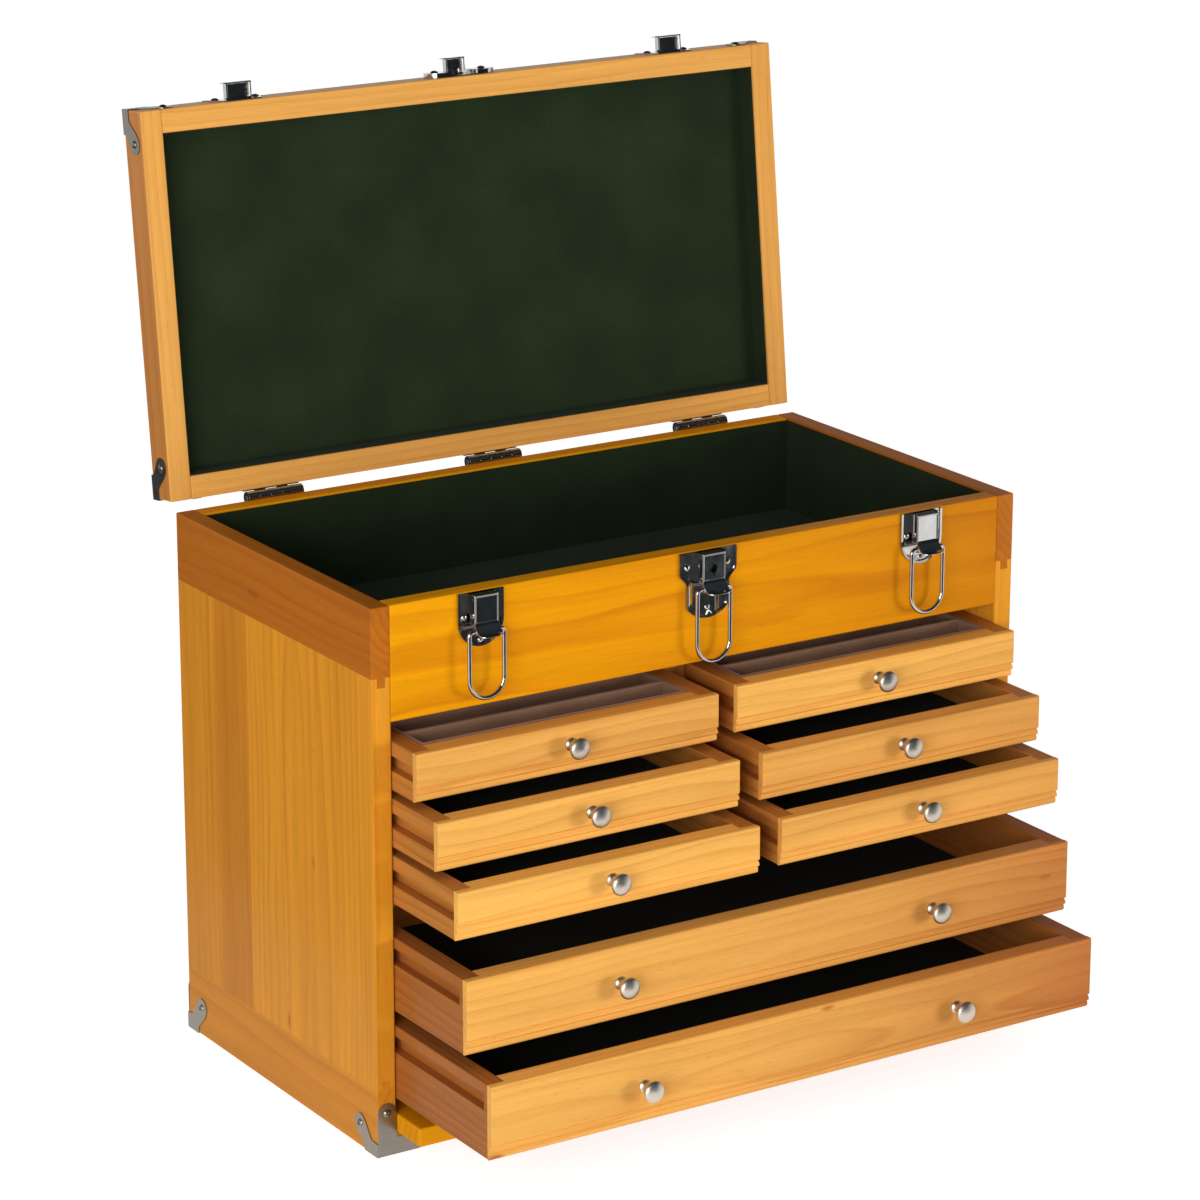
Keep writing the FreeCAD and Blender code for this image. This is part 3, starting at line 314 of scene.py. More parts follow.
for node, along, heart, tone, material, slot in (
        ("till_front_board", "X", (62 * MM, -6 * MM), 0.0, front_pine, "board_wood"),
        ("back_panel", "X", (-70 * MM, 30 * MM), 0.1, front_pine, "board_wood"),
        ("till_floor", "X", (20 * MM, -50 * MM), 0.2, inner_pine, "case_wood"),
        ("base_board", "X", (15 * MM, -55 * MM), 0.35, inner_pine, "case_wood"),
        ("centre_divider", "Z", (50 * MM, 20 * MM), 0.25, inner_pine, "case_wood")):
    low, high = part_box(node)
    piece = board(low, high, along, heart, tone)
    if node == "till_front_board":
        for share in till_front_parting:
            scribed(piece, (low.x + (high.x - low.x) * share, 0, 0), (1, 0, 0))
        mark_grain(piece, along, (low.y + till_front_heart[0], (low.z + high.z) / 2 + till_front_heart[1]), tone)
        # Painted shade, deepening toward the right end
        toned_and_shaded(piece, *till_front_painted_shade)
    fitted([piece], node + "_wood", material, "case", [node])

low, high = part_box("dust_panels")
slot_cover_thickness = 5 * MM
shelf_thickness = 14 * MM
slot_cover = board(low, (high.x, high.y, low.z + slot_cover_thickness), "X", (20 * MM, 40 * MM), 0.3)
shelf = board((low.x, low.y, high.z - shelf_thickness), high, "X", (-30 * MM, 50 * MM), 0.15)
fitted([slot_cover, shelf], "dust_panels_wood", inner_pine, "case", ["dust_panels"])

# Runners: square pine strips glued to the sides and the divider, on which the drawers' grooves ride.
runner_out = 6.6 * MM
runner_end = 118.5 * MM
small_runners = (-88.5 * MM, ((187.7, 197.0), (226.4, 235.7), (265.1, 274.4)))
wide_runners = (-84.5 * MM, ((71.4, 81.7), (132.7, 143.0)))
inner_left, inner_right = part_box("side_left")[1].x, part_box("side_right")[0].x
divider_low, divider_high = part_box("centre_divider")
runners = []
for (start, heights), places in (
        (small_runners, (inner_left, divider_low.x - runner_out, divider_high.x, inner_right - runner_out)),
        (wide_runners, (inner_left, inner_right - runner_out))):
    for bottom, top in heights:
        for x in places:
            runners.append(board((x, start, bottom * MM), (x + runner_out, runner_end, top * MM), "Y",
                                 (30 * MM, trees.uniform(-20, 20) * MM), 0.2, 0.6 * MM))
fitted(runners, "drawer_runner_strips", inner_pine, "case", ["drawer_runners"])


# Front panel: a plain pine board kept in the slot under the lowest drawer, its front edge standing out.
low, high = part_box("front_panel")
panel = board(low, high, "X", (20 * MM, 60 * MM), 0.0, 1.2 * MM)
fitted([panel], "front_panel_wood", front_pine, "front_panel", ["front_panel"])


# Linings: thin green baize glued to the till's floor and walls and into the lid's recess.
# A napped wool cloth, nearly black in the shade, with a soft sheen and faint uneven nap.
def napped(name, colour, light_colour, sheen):
    """Short soft nap: fine speckle, faint brushed patches, and a sheen at low angles."""
    material = bpy.data.materials.new(name)
    material.use_nodes = True
    tree = material.node_tree
    shader = tree.nodes["Principled BSDF"]
    place = add(tree, "ShaderNodeTexCoord").outputs["Object"]
    # Fibres are 0.02 mm thick, too fine to show, so the speckle is drawn as 0.8 mm tufts
    speckle = add(tree, "ShaderNodeTexNoise", {"Scale": 1 / (0.8 * MM), "Detail": 3}, {"Vector": place})
    patch = add(tree, "ShaderNodeTexNoise", {"Scale": 1 / (60 * MM), "Detail": 2}, {"Vector": place})
    both = add(tree, "ShaderNodeMath", {"operation": "MULTIPLY"},
               {0: speckle.outputs["Fac"], 1: patch.outputs["Fac"]})
    share = add(tree, "ShaderNodeMapRange", {"From Min": 0.12, "From Max": 0.40}, {"Value": both.outputs[0]})
    cloth = add(tree, "ShaderNodeMix", {"data_type": "RGBA", 6: linear(colour), 7: linear(light_colour)},
                {0: share.outputs["Result"]})
    tree.links.new(cloth.outputs[2], shader.inputs["Base Color"])
    relief = add(tree, "ShaderNodeBump", {"Strength": 0.5, "Distance": 0.4 * MM},
                 {"Height": speckle.outputs["Fac"]})
    tree.links.new(relief.outputs[0], shader.inputs["Normal"])
    shader.inputs["Roughness"].default_value = 0.95
    shader.inputs["Specular IOR Level"].default_value = 0.15
    shader.inputs["Sheen Weight"].default_value = sheen
    shader.inputs["Sheen Roughness"].default_value = 0.5
    return material


baize = napped("green_wool_baize", "#1D2815", "#28351E", 0.05)
dark_felt = napped("dark_green_felt", "#0D130C", "#1A2317", 0.04)
flock = napped("taupe_flocking", "#8E6A52", "#A98268", 0.12)
cloth_thickness = 1 * MM
cloth_ease = 0.3 * MM


def cloth_lining(low, high, floor_up):
    """Five pieces of cloth in a recess: one on its floor, which faces up or down, and one on each wall."""
    low, high = Vector(low), Vector(high)
    floor_z = (low.z, low.z + cloth_thickness) if floor_up else (high.z - cloth_thickness, high.z)
    wall_z = (floor_z[1], high.z) if floor_up else (low.z, floor_z[0])
    pieces = [block((low.x, low.y, floor_z[0]), (high.x, high.y, floor_z[1]))]
    for y in (low.y, high.y - cloth_thickness):
        pieces.append(block((low.x, y, wall_z[0]), (high.x, y + cloth_thickness, wall_z[1])))
    for x in (low.x, high.x - cloth_thickness):
        pieces.append(block((x, low.y + cloth_thickness, wall_z[0]),
                            (x + cloth_thickness, high.y - cloth_thickness, wall_z[1])))
    return [eased(piece, cloth_ease) for piece in pieces]


low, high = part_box("till_lining")
fitted(cloth_lining(low, high, True), "till_baize", baize, "case", ["till_lining"], 40)


# Drawers: a moulded pine front over two grooved sides, with a back and a thin bottom.
# The front has rounded edges, a narrow quirk and a bead above a set-back toe; its ends cover the sides.
drawer_pine = varnished_pine("drawer_front_pine_light_varnish", "#FCBE5F", "#E0943C", 4.0 * MM, 0.7)
drawer_side_pine = varnished_pine("drawer_side_pine_varnish", "#CC873E", "#A45F26", 4.5 * MM, 0.9)
front_thickness = 15 * MM
front_lap = 5 * MM
drawer_side_thickness = 13 * MM
drawer_back_thickness = 12 * MM
bottom_rise = 4 * MM
bottom_thickness = 4 * MM
groove_depth = 6.5 * MM
# Moulding: depth behind the face and height above the lower edge. The face rolls in to a quirk, then comes a
# bead whose shoulder catches the light, a hollow, and a toe with a rounded lower edge.
moulding = ((0.0, 11.2), (0.25, 10.4), (0.8, 9.8), (1.7, 9.4), (2.2, 9.1), (1.9, 8.6), (1.3, 8.0), (0.8, 7.2),
            (0.6, 6.4), (0.8, 5.7), (1.4, 5.2), (2.3, 4.8), (2.7, 4.4), (2.4, 3.8), (2.1, 3.0), (2.1, 1.8),
            (2.5, 0.8), (3.6, 0.0))
top_round = ((1.5, 0.0), (0.4, 0.4), (0.0, 1.5))
# A front is parted at these shares of its width, so that its tone and painted shade can change along it
front_parting = (0.35, 0.65, 0.85)


def outline(points):
    """A flat face drawn point by point from a single vertex."""
    pick()
    points = [Vector(point) for point in points]
    bpy.ops.mesh.primitive_plane_add(size=MM, location=points[0])
    bpy.ops.object.transform_apply(location=True, rotation=True, scale=True)
    bpy.ops.object.mode_set(mode="EDIT")
    bpy.ops.mesh.select_mode(type="VERT")
    bpy.ops.mesh.select_all(action="SELECT")
    bpy.ops.mesh.merge(type="CENTER")
    for start, end in zip(points, points[1:]):
        bpy.ops.mesh.extrude_vertices_move(TRANSFORM_OT_translate={"value": end - start})
    bpy.ops.object.mode_set(mode="OBJECT")
    return bpy.context.object


def extruded(points, travel):
    """A solid from a flat outline carried along a travel vector."""
    piece = outline([*points, points[0]])
    opened(piece, "VERT")
    bpy.ops.mesh.remove_doubles(threshold=0.001 * MM)
    bpy.ops.mesh.edge_face_add()
    bpy.ops.mesh.select_mode(type="FACE")
    bpy.ops.mesh.select_all(action="SELECT")
    bpy.ops.mesh.extrude_region_move(TRANSFORM_OT_translate={"value": Vector(travel)})
    bpy.ops.mesh.select_all(action="SELECT")
    bpy.ops.mesh.normals_make_consistent(inside=False)
    bpy.ops.object.mode_set(mode="OBJECT")
    return piece


def carved(piece, cutter):
    """Take the cutter's shape out of a piece."""
    pick(piece)
    bpy.ops.object.modifier_add(type="BOOLEAN")
    modifier = piece.modifiers[-1]
    modifier.operation = "DIFFERENCE"
    modifier.solver = "EXACT"
    modifier.object = cutter
    bpy.ops.object.modifier_apply(modifier=modifier.name)
    bpy.data.objects.remove(cutter)
    return piece


def cut(piece, low, high):
    """Take a square-edged space out of a piece."""
    return carved(piece, block(low, high))


def copied(piece, shift):
    """A copy with its own mesh, moved, and cut from another place in the tree."""
    pick(piece)
    bpy.ops.object.duplicate()
    copy = bpy.context.object
    copy.location = shift
    bpy.ops.object.transform_apply(location=True, rotation=False, scale=False)
    grain = copy.data.attributes.get("grain")
    if grain:
        step = Vector((trees.uniform(1, 20), trees.uniform(-12, 12) * MM, trees.uniform(-12, 12) * MM))
        for corner in grain.data:
            corner.vector = Vector(corner.vector) + step
    return copy


def drawer_front(low, high):
    """The moulded board, then its thicker middle part behind the laps."""
    section = [(low.y + back * MM, high.z - down * MM) for back, down in top_round]
    section += [(low.y + back * MM, low.z + up * MM) for back, up in moulding]
    section += [(low.y + front_lap, low.z), (low.y + front_lap, high.z)]
    piece = extruded([(low.x, y, z) for y, z in section], (high.x - low.x, 0, 0))
    width = high.x - low.x
    for x in (low.x + drawer_side_thickness, *[low.x + width * share for share in front_parting],
              high.x - drawer_side_thickness):
        scribed(piece, (x, 0, 0), (1, 0, 0))
    lap_y = low.y + front_lap
    reach = drawer_side_thickness
    opened(piece, "FACE", lambda middle, line: abs(middle.y - lap_y) < 0.01 * MM and line.y > 0.5
           and low.x + reach < middle.x < high.x - reach)
    bpy.ops.mesh.extrude_region_move(TRANSFORM_OT_translate={"value": (0, front_thickness - front_lap, 0)})
    bpy.ops.object.mode_set(mode="OBJECT")
    eased(piece, 1.3 * MM, 3, lambda middle, line: middle.y < low.y + 0.01 * MM and abs(line.z) > 0.9
          and min(abs(middle.x - low.x), abs(middle.x - high.x)) < 0.01 * MM)
    mark_grain(piece, "X", (low.y + 42 * MM, (low.z + high.z) / 2 - 12 * MM), 0)
    return piece


def drawer_box(front_low, low, high, groove_top, groove_low, groove_start):
    """Two grooved sides, the back and the bottom."""
    parts = []
    for x in (low.x, high.x - drawer_side_thickness):
        outer = x - MM if x == low.x else x + drawer_side_thickness - groove_depth
        side = block((x, low.y, low.z), (x + drawer_side_thickness, high.y, high.z))
        eased(side, 0.7 * MM, 2, lambda middle, line: abs(line.y) > 0.9)
        cut(side, (outer, groove_start, groove_low), (outer + groove_depth + MM, high.y + MM, groove_top))
        mark_grain(side, "Y", (x - 35 * MM, (low.z + high.z) / 2 + 14 * MM), 0.15)
        parts.append(side)
    inner = (low.x + drawer_side_thickness, high.x - drawer_side_thickness)
    floor_z = low.z + bottom_rise
    inside_y = front_low.y + front_thickness
    parts.append(board((inner[0], high.y - drawer_back_thickness, low.z), (inner[1], high.y, high.z),
                       "X", (40 * MM, 10 * MM), 0.2))
    parts.append(board((inner[0], inside_y, floor_z), (inner[1], high.y - drawer_back_thickness,
                       floor_z + bottom_thickness), "X", (30 * MM, 40 * MM), 0.2, 0.2 * MM))
    return parts


small_names = ["drawer_%s_%s" % (column, level) for level in ("top", "middle", "bottom")
               for column in ("left", "right")]
wide_names = ["drawer_wide_upper", "drawer_wide_lower"]
# How dark each moulded front is at its left and right ends: the left value is the front's own tone, and the rise
# toward the right end is painted shade, as if the light fell off to the right
front_tones_and_shade = {"drawer_left_top": (0.26, 0.32), "drawer_left_middle": (0.08, 0.16), "drawer_left_bottom": (0, 0.08),
               "drawer_right_top": (0.02, 0.14), "drawer_right_middle": (0.35, 0.5),
               "drawer_right_bottom": (0.25, 0.45), "drawer_wide_upper": (0.14, 0.90),
               "drawer_wide_lower": (0.14, 1.00)}
# The small drawers' boxes are paler than the wide ones'
box_tones = ((0.0, 0.1), (0.45, 0.45))
# Groove heights as shares of the drawer's height, down from its top edge
groove_shares = {"drawer_left_top": (0.288, 0.600), "drawer_wide_upper": (0.141, 0.363)}
groove_starts = {"drawer_left_top": -MM, "drawer_wide_upper": 4 * MM}
for names in (small_names, wide_names):
    model = names[0]
    front_low, front_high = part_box(model + "_front")
    low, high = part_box(model + "_box")
    tall = high.z - low.z
    front = drawer_front(front_low, front_high)
    box_parts = drawer_box(front_low, low, high, high.z - tall * groove_shares[model][0],
                           high.z - tall * groove_shares[model][1], low.y + groove_starts[model])
    pick(*box_parts)
    bpy.ops.object.join()
    carcass = box_parts[0]
    for name in names:
        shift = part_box(name + "_front")[0] - front_low
        front_copy = copied(front, shift)
        # Painted shade deepening toward the right end, over the front's own tone
        toned_and_shaded(front_copy, *front_tones_and_shade[name])
        box_copy = copied(carcass, shift)
        toned_and_shaded(box_copy, *box_tones[name in wide_names])
        fitted([front_copy], name + "_moulded_front", drawer_pine, name, [name + "_front"])
        fitted([box_copy], name + "_carcass", drawer_side_pine, name, [name + "_box"])
    for done in (front, carcass):
        bpy.data.objects.remove(done)

# Felt on the drawers' bottoms, cut a little small.
for name in small_names[2:] + wide_names:
    low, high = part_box(name + "_liner")
    felt = eased(block(low, high), cloth_ease)
    fitted([felt], name + "_felt", dark_felt, name, [name + "_liner"], 40)

# Trays of the two top small drawers: moulded board with long compartments, flocked all over in taupe.
tray_wall = 3 * MM
tray_floor = 2.5 * MM
tray_pockets = 7
for name in small_names[:2]:
    low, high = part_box(name + "_liner")
    tray = block(low, high)
    pocket = (high.y - low.y - tray_wall) / tray_pockets - tray_wall
    starts = [low.y + tray_wall + number * (pocket + tray_wall) for number in range(tray_pockets)]
    for y in [place for start in starts for place in (start, start + pocket)]:
        scribed(tray, (0, y, 0), (0, 1, 0))
    for x in (low.x + tray_wall, high.x - tray_wall):
        scribed(tray, (x, 0, 0), (1, 0, 0))
    opened(tray, "FACE", lambda middle, line: line.z > 0.5 and low.x + tray_wall < middle.x < high.x - tray_wall
           and any(start < middle.y < start + pocket for start in starts))
    bpy.ops.mesh.extrude_region_move(TRANSFORM_OT_translate={"value": (0, 0, low.z + tray_floor - high.z)})
    bpy.ops.object.mode_set(mode="OBJECT")
    eased(tray, 0.5 * MM, 2, lambda middle, line: middle.z > high.z - 0.01 * MM)
    fitted([tray], name + "_tray", flock, name, [name + "_liner"], 40)


# Lid: four pine rails, the short ones full depth, round a panel, with baize in the recess.
# It is drawn shut and then turned back about the hinge pins to its stop.
lid_pine = varnished_pine("lid_pine_amber_varnish", "#F0AE57", "#D08238", 6.0 * MM, 0.5)
lid_low_z = 375.3 * MM
lid_high_z = 400.8 * MM
rail_width = 16 * MM
lid_panel_thickness = 8 * MM
cloth_below_rim = 1.5 * MM
hinge_line = Vector((0, 137.9 * MM, 375 * MM))
lid_open = math.radians(96.5)


def opened_up(piece):
    """Turn a piece of the shut lid back about the hinge line."""
    pick(piece)
    bpy.context.scene.cursor.location = hinge_line
    bpy.ops.object.origin_set(type="ORIGIN_CURSOR")
    piece.rotation_euler.x = -lid_open
    bpy.ops.object.transform_apply(location=True, rotation=True, scale=True)
    return piece


case_low, case_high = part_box("side_left")[0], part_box("side_right")[1]
rail_x = (case_low.x + rail_width, case_high.x - rail_width)
rail_y = (case_low.y + rail_width, case_high.y - rail_width)
rails = [board((case_low.x, case_low.y, lid_low_z), (rail_x[0], case_high.y, lid_high_z), "Y",
               (-50 * MM, 25 * MM), 0.0),
         board((rail_x[1], case_low.y, lid_low_z), (case_high.x, case_high.y, lid_high_z), "Y",
               (45 * MM, 30 * MM), 0.1),
         board((rail_x[0], case_low.y, lid_low_z), (rail_x[1], rail_y[0], lid_high_z), "X",
               (-45 * MM, 20 * MM), 0.0),
         board((rail_x[0], rail_y[1], lid_low_z), (rail_x[1], case_high.y, lid_high_z), "X",
               (50 * MM, 25 * MM), 0.0)]
mark_grain(rails[0], "Y", (case_low.x - 42 * MM, lid_high_z + 12 * MM), 0.65,
           lambda point: point.x < case_low.x + 0.01 * MM)
fitted([opened_up(rail) for rail in rails], "lid_rails", lid_pine, "lid", ["lid_frame"])
lid_panel_z = lid_high_z - lid_panel_thickness
lid_board = board((rail_x[0], rail_y[0], lid_panel_z), (rail_x[1], rail_y[1], lid_high_z), "X",
                  (25 * MM, 70 * MM), 0.1, 0.3 * MM)
fitted([opened_up(lid_board)], "lid_top_board", front_pine, "lid", ["lid_panel"])
lid_cloth = cloth_lining((rail_x[0], rail_y[0], lid_low_z + cloth_below_rim), (rail_x[1], rail_y[1], lid_panel_z),
                         False)
fitted([opened_up(piece) for piece in lid_cloth], "lid_baize", baize, "lid", ["lid_lining"], 40)


# Fittings: pressed steel sheet, nickel plated and left bright; every edge is rolled a little by the press.
def nickel(name, colour, light_colour, roughness, scratch):
    """Plated metal with faint hairline scratches and cloudy patches."""
    material = bpy.data.materials.new(name)
    material.use_nodes = True
    tree = material.node_tree
    shader = tree.nodes["Principled BSDF"]
    shader.inputs["Metallic"].default_value = 1
    place = add(tree, "ShaderNodeTexCoord").outputs["Object"]
    cloud = add(tree, "ShaderNodeTexNoise", {"Scale": 1 / (7 * MM), "Detail": 3}, {"Vector": place})
    # Hairlines are a few hundredths of a millimetre wide, drawn here about 0.3 mm wide
    along = add(tree, "ShaderNodeMapping", {"Scale": (1 / (4 * MM), 1 / (4 * MM), 1 / (0.3 * MM))},
                {"Vector": place})
    hairline = add(tree, "ShaderNodeTexNoise", {"Scale": 1, "Detail": 2}, {"Vector": along.outputs[0]})
    tint = add(tree, "ShaderNodeMix", {"data_type": "RGBA", 6: linear(colour), 7: linear(light_colour)},
               {0: cloud.outputs["Fac"]})
    tree.links.new(tint.outputs[2], shader.inputs["Base Color"])
    worn = add(tree, "ShaderNodeMath", {"operation": "MULTIPLY"},
               {0: cloud.outputs["Fac"], 1: hairline.outputs["Fac"]})
    rough = add(tree, "ShaderNodeMath", {"operation": "MULTIPLY_ADD", 1: scratch, 2: roughness},
                {0: worn.outputs[0]})
    tree.links.new(rough.outputs[0], shader.inputs["Roughness"])
    relief = add(tree, "ShaderNodeBump", {"Strength": 0.06, "Distance": 0.1 * MM},
                 {"Height": hairline.outputs["Fac"]})
    tree.links.new(relief.outputs[0], shader.inputs["Normal"])
    return material


bright_nickel = nickel("bright_nickel_plated_steel", "#ABAAA9", "#CFCCC7", 0.05, 0.20)
sheet_nickel = nickel("dull_nickel_plated_sheet", "#7E7971", "#918B82", 0.24, 0.22)
satin_nickel = nickel("satin_nickel_plate", "#C2BAAD", "#D6CFC3", 0.38, 0.12)


def pressed(node, name, roll, material, body):
    """The plain solid's shape with its edges rolled over, as the press leaves them."""
    piece = bpy.data.objects.new(name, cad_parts[node].data.copy())
    bpy.context.scene.collection.objects.link(piece)
    opened(piece)
    bpy.ops.mesh.remove_doubles(threshold=0.002 * MM)
    bpy.ops.mesh.dissolve_limited(angle_limit=math.radians(0.5))
    bpy.ops.object.mode_set(mode="OBJECT")
    bpy.ops.object.modifier_add(type="BEVEL")
    modifier = piece.modifiers[-1]
    modifier.width = roll
    modifier.segments = 3
    modifier.limit_method = "ANGLE"
    modifier.angle_limit = math.radians(35)
    bpy.ops.object.modifier_apply(modifier=modifier.name)
    opened(piece)
    bpy.ops.mesh.remove_doubles(threshold=0.005 * MM)
    bpy.ops.object.mode_set(mode="OBJECT")
    return fitted([piece], name, material, body, [node], 35)


for node, roll, material, body in (
        ("case_corner_guards", 0.35, sheet_nickel, "case"), ("lid_corner_guards", 0.35, sheet_nickel, "lid"),
        ("lid_catches", 0.3, bright_nickel, "lid"), ("latch_plates", 0.35, bright_nickel, "case"),
        ("hinge_case_leaves", 0.3, bright_nickel, "case"), ("hinge_lid_leaves", 0.3, bright_nickel, "lid"),
        ("hinge_pins", 0.3, bright_nickel, "case"), ("lock_bolt", 0.2, bright_nickel, "lock_bolt")):
    pressed(node, node + "_pressed", roll * MM, material, body)


# Each catch's hook is folded up like a cup, so that its two cheeks stay stiff; the bail drops over its lip.
front_y = case_low.y
latch_x = 174.93 * MM
hook_out = 12.15 * MM
hook_depth = 4.6 * MM
hook_sheet = 1.15 * MM
hooks = []
for centre, half, shelf_z in ((-latch_x, 9.65 * MM, 389.2 * MM), (0, 7.65 * MM, 396.4 * MM),
                              (latch_x, 9.65 * MM, 389.2 * MM)):
    hook = block((centre - half, front_y - hook_out, shelf_z - hook_depth),
                 (centre + half, front_y - 0.5 * MM, shelf_z - 0.05 * MM))
    opened(hook, "FACE", lambda middle, line: line.z < -0.9)
    bpy.ops.mesh.inset(thickness=hook_sheet)
    bpy.ops.mesh.extrude_region_move(TRANSFORM_OT_translate={"value": (0, 0, hook_depth - hook_sheet)})
    bpy.ops.object.mode_set(mode="OBJECT")
    eased(hook, 1.1 * MM, 4, lambda middle, line: abs(line.z) > 0.9 and middle.y < front_y - hook_out + 0.01 * MM)
    eased(hook, 0.3 * MM, 2, lambda middle, line: middle.z < shelf_z - hook_depth + 0.01 * MM)
    hooks.append(opened_up(hook))
fitted(hooks, "lid_catch_hooks", bright_nickel, "lid", ["lid_catches"], 40)


# Knobs: turned brass, satin nickel plated. A domed foot, a waisted neck and a mushroom head whose face is
# almost flat; a screw from inside the drawer holds each.
knob_turning = ((4.5, 0.0), (4.5, 0.7), (4.2, 1.2), (3.5, 1.8), (3.0, 2.7), (2.8, 4.0), (2.9, 5.5), (3.3, 7.0),
                (4.2, 8.3), (5.8, 9.2), (6.9, 9.8), (7.35, 10.5), (7.4, 11.2), (7.2, 12.0), (6.7, 12.7),
                (5.9, 13.3), (4.6, 13.9), (3.0, 14.4), (1.4, 14.7), (0.0, 14.8))
knob_screw_turning = ((0.0, -16.6), (2.2, -16.4), (3.4, -15.8), (3.8, -15.0), (1.9, -15.0), (1.9, 4.0), (0.0, 4.0))
turning_steps = 40
small_knob_share = 0.585
wide_knob_share = 0.505
knob_spacing = 125 * MM


def turned(place, turning, steps, axis=(0, -1, 0), across=(1, 0, 0)):
    """A shape turned on the lathe from a place along an axis; its radii and lengths are in mm."""
    place, axis, across = Vector(place), Vector(axis), Vector(across)
    piece = outline([place + across * radius * MM + axis * length * MM for radius, length in turning])
    opened(piece, "VERT")
    bpy.ops.mesh.spin(steps=steps, angle=2 * math.pi, center=place, axis=axis)
    bpy.ops.mesh.select_all(action="SELECT")
    bpy.ops.mesh.remove_doubles(threshold=0.005 * MM)
    bpy.ops.mesh.normals_make_consistent(inside=False)
    bpy.ops.object.mode_set(mode="OBJECT")
    return piece


# Model knob at the origin, without the foot's back, which the drawer front hides
knob_model = turned((0, 0, 0), ((0.0, 0.0), *knob_turning), turning_steps)
knob_screw_model = turned((0, 0, 0), knob_screw_turning, 16)
for name in small_names + wide_names:
    low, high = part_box(name + "_front")
    wide = name in wide_names
    z = low.z + (high.z - low.z) * (wide_knob_share if wide else small_knob_share)
    sides = (-1, 1) if wide else (-1,) if "left" in name else (1,)
    parts = [copied(model, Vector((side * knob_spacing, low.y, z))) for side in sides
             for model in (knob_model, knob_screw_model)]
    fitted(parts, name + "_turned_knob", satin_nickel, name, [name + "_knob"], 45)
for done in (knob_model, knob_screw_model):
    bpy.data.objects.remove(done)


# Latch levers: a bright channel of pressed sheet with a sunk face, hung on the plate's pin. Below the face the
# sheet sweeps out in a scoop for the fingertip, and behind the scoop it is curled round the bail's bar.
lever_half = 9 * MM
lever_top_z = 374.2 * MM
lever_low_z = 354.4 * MM
lever_back_out = 3.0 * MM
lever_face_out = 9.2 * MM
lever_sheet = 1.2 * MM
lever_frame = 0.9 * MM
lever_sunk = 0.5 * MM
sunk_taper = 0.97
curl_out = 9 * MM
curl_z = 350.5 * MM
# The scoop's section: distance out from the till front, height, and half width, all in mm
scoop = ((9.0, 355.6, 9.0), (9.4, 353.7, 9.0), (10.4, 352.2, 9.0), (11.6, 350.9, 9.0), (13.0, 349.7, 9.0),
         (14.8, 348.8, 8.8), (16.7, 348.4, 8.0), (18.2, 348.5, 6.6), (19.2, 348.9, 4.2))
scoop_thickness = 0.9 * MM


def lever(centre):
    """Channel with its sunk face, scoop and curl."""
    channel = block((centre - lever_half, front_y - lever_face_out, lever_low_z),
                    (centre + lever_half, front_y - lever_back_out, lever_top_z))
    opened(channel, "FACE", lambda middle, line: line.y > 0.9)
    bpy.ops.mesh.inset(thickness=lever_sheet)
    depth = lever_face_out - lever_back_out - lever_sheet - lever_sunk
    bpy.ops.mesh.extrude_region_move(TRANSFORM_OT_translate={"value": (0, -depth, 0)})
    bpy.ops.object.mode_set(mode="OBJECT")
    opened(channel, "FACE", lambda middle, line: line.y < -0.9 and middle.y < front_y - lever_face_out + 0.1 * MM)
    bpy.ops.mesh.inset(thickness=lever_frame)
    bpy.ops.mesh.extrude_region_move(TRANSFORM_OT_translate={"value": (0, lever_sunk, 0)})
    bpy.ops.transform.resize(value=(sunk_taper, 1, sunk_taper),
                             center_override=(centre, front_y - lever_face_out, (lever_low_z + lever_top_z) / 2))
    bpy.ops.object.mode_set(mode="OBJECT")
    eased(channel, 0.45 * MM, 3, lambda middle, line: middle.y < front_y - lever_face_out + 1.4 * MM
          or abs(line.y) > 0.9)
    out, z, half = scoop[0]
    lip = outline([(centre - half * MM, front_y - out * MM, z * MM),
                   (centre + half * MM, front_y - out * MM, z * MM)])
    opened(lip, "EDGE")
    for (out, z, half), (next_out, next_z, next_half) in zip(scoop, scoop[1:]):
        bpy.ops.mesh.extrude_edges_move(
            TRANSFORM_OT_translate={"value": (0, (out - next_out) * MM, (next_z - z) * MM)})
        bpy.ops.transform.resize(value=(next_half / half, 1, 1), center_override=(centre, 0, 0))
    bpy.ops.object.mode_set(mode="OBJECT")
    pick(lip)
    bpy.ops.object.modifier_add(type="SOLIDIFY")
    lip.modifiers[-1].thickness = scoop_thickness
    lip.modifiers[-1].offset = 0
    bpy.ops.object.modifier_apply(modifier=lip.modifiers[-1].name)
    eased(lip, 0.25 * MM, 2, lambda middle, line: True)
    opened(lip)
    bpy.ops.mesh.normals_make_consistent(inside=False)
    bpy.ops.object.mode_set(mode="OBJECT")
    width = 2 * lever_half / MM
    curl = turned((centre - lever_half, front_y - curl_out, curl_z),
                  ((1.56, 0), (2.3, 0), (2.5, 0.2), (2.5, width - 0.2), (2.3, width), (1.56, width), (1.56, 0)), 24,
                  (1, 0, 0), (0, 0, 1))
    return [channel, lip, curl]


for name, centre in (("latch_lever_left", -latch_x), ("latch_lever_right", latch_x)):
    fitted(lever(centre), name + "_pressed", bright_nickel, name, [name], 40)

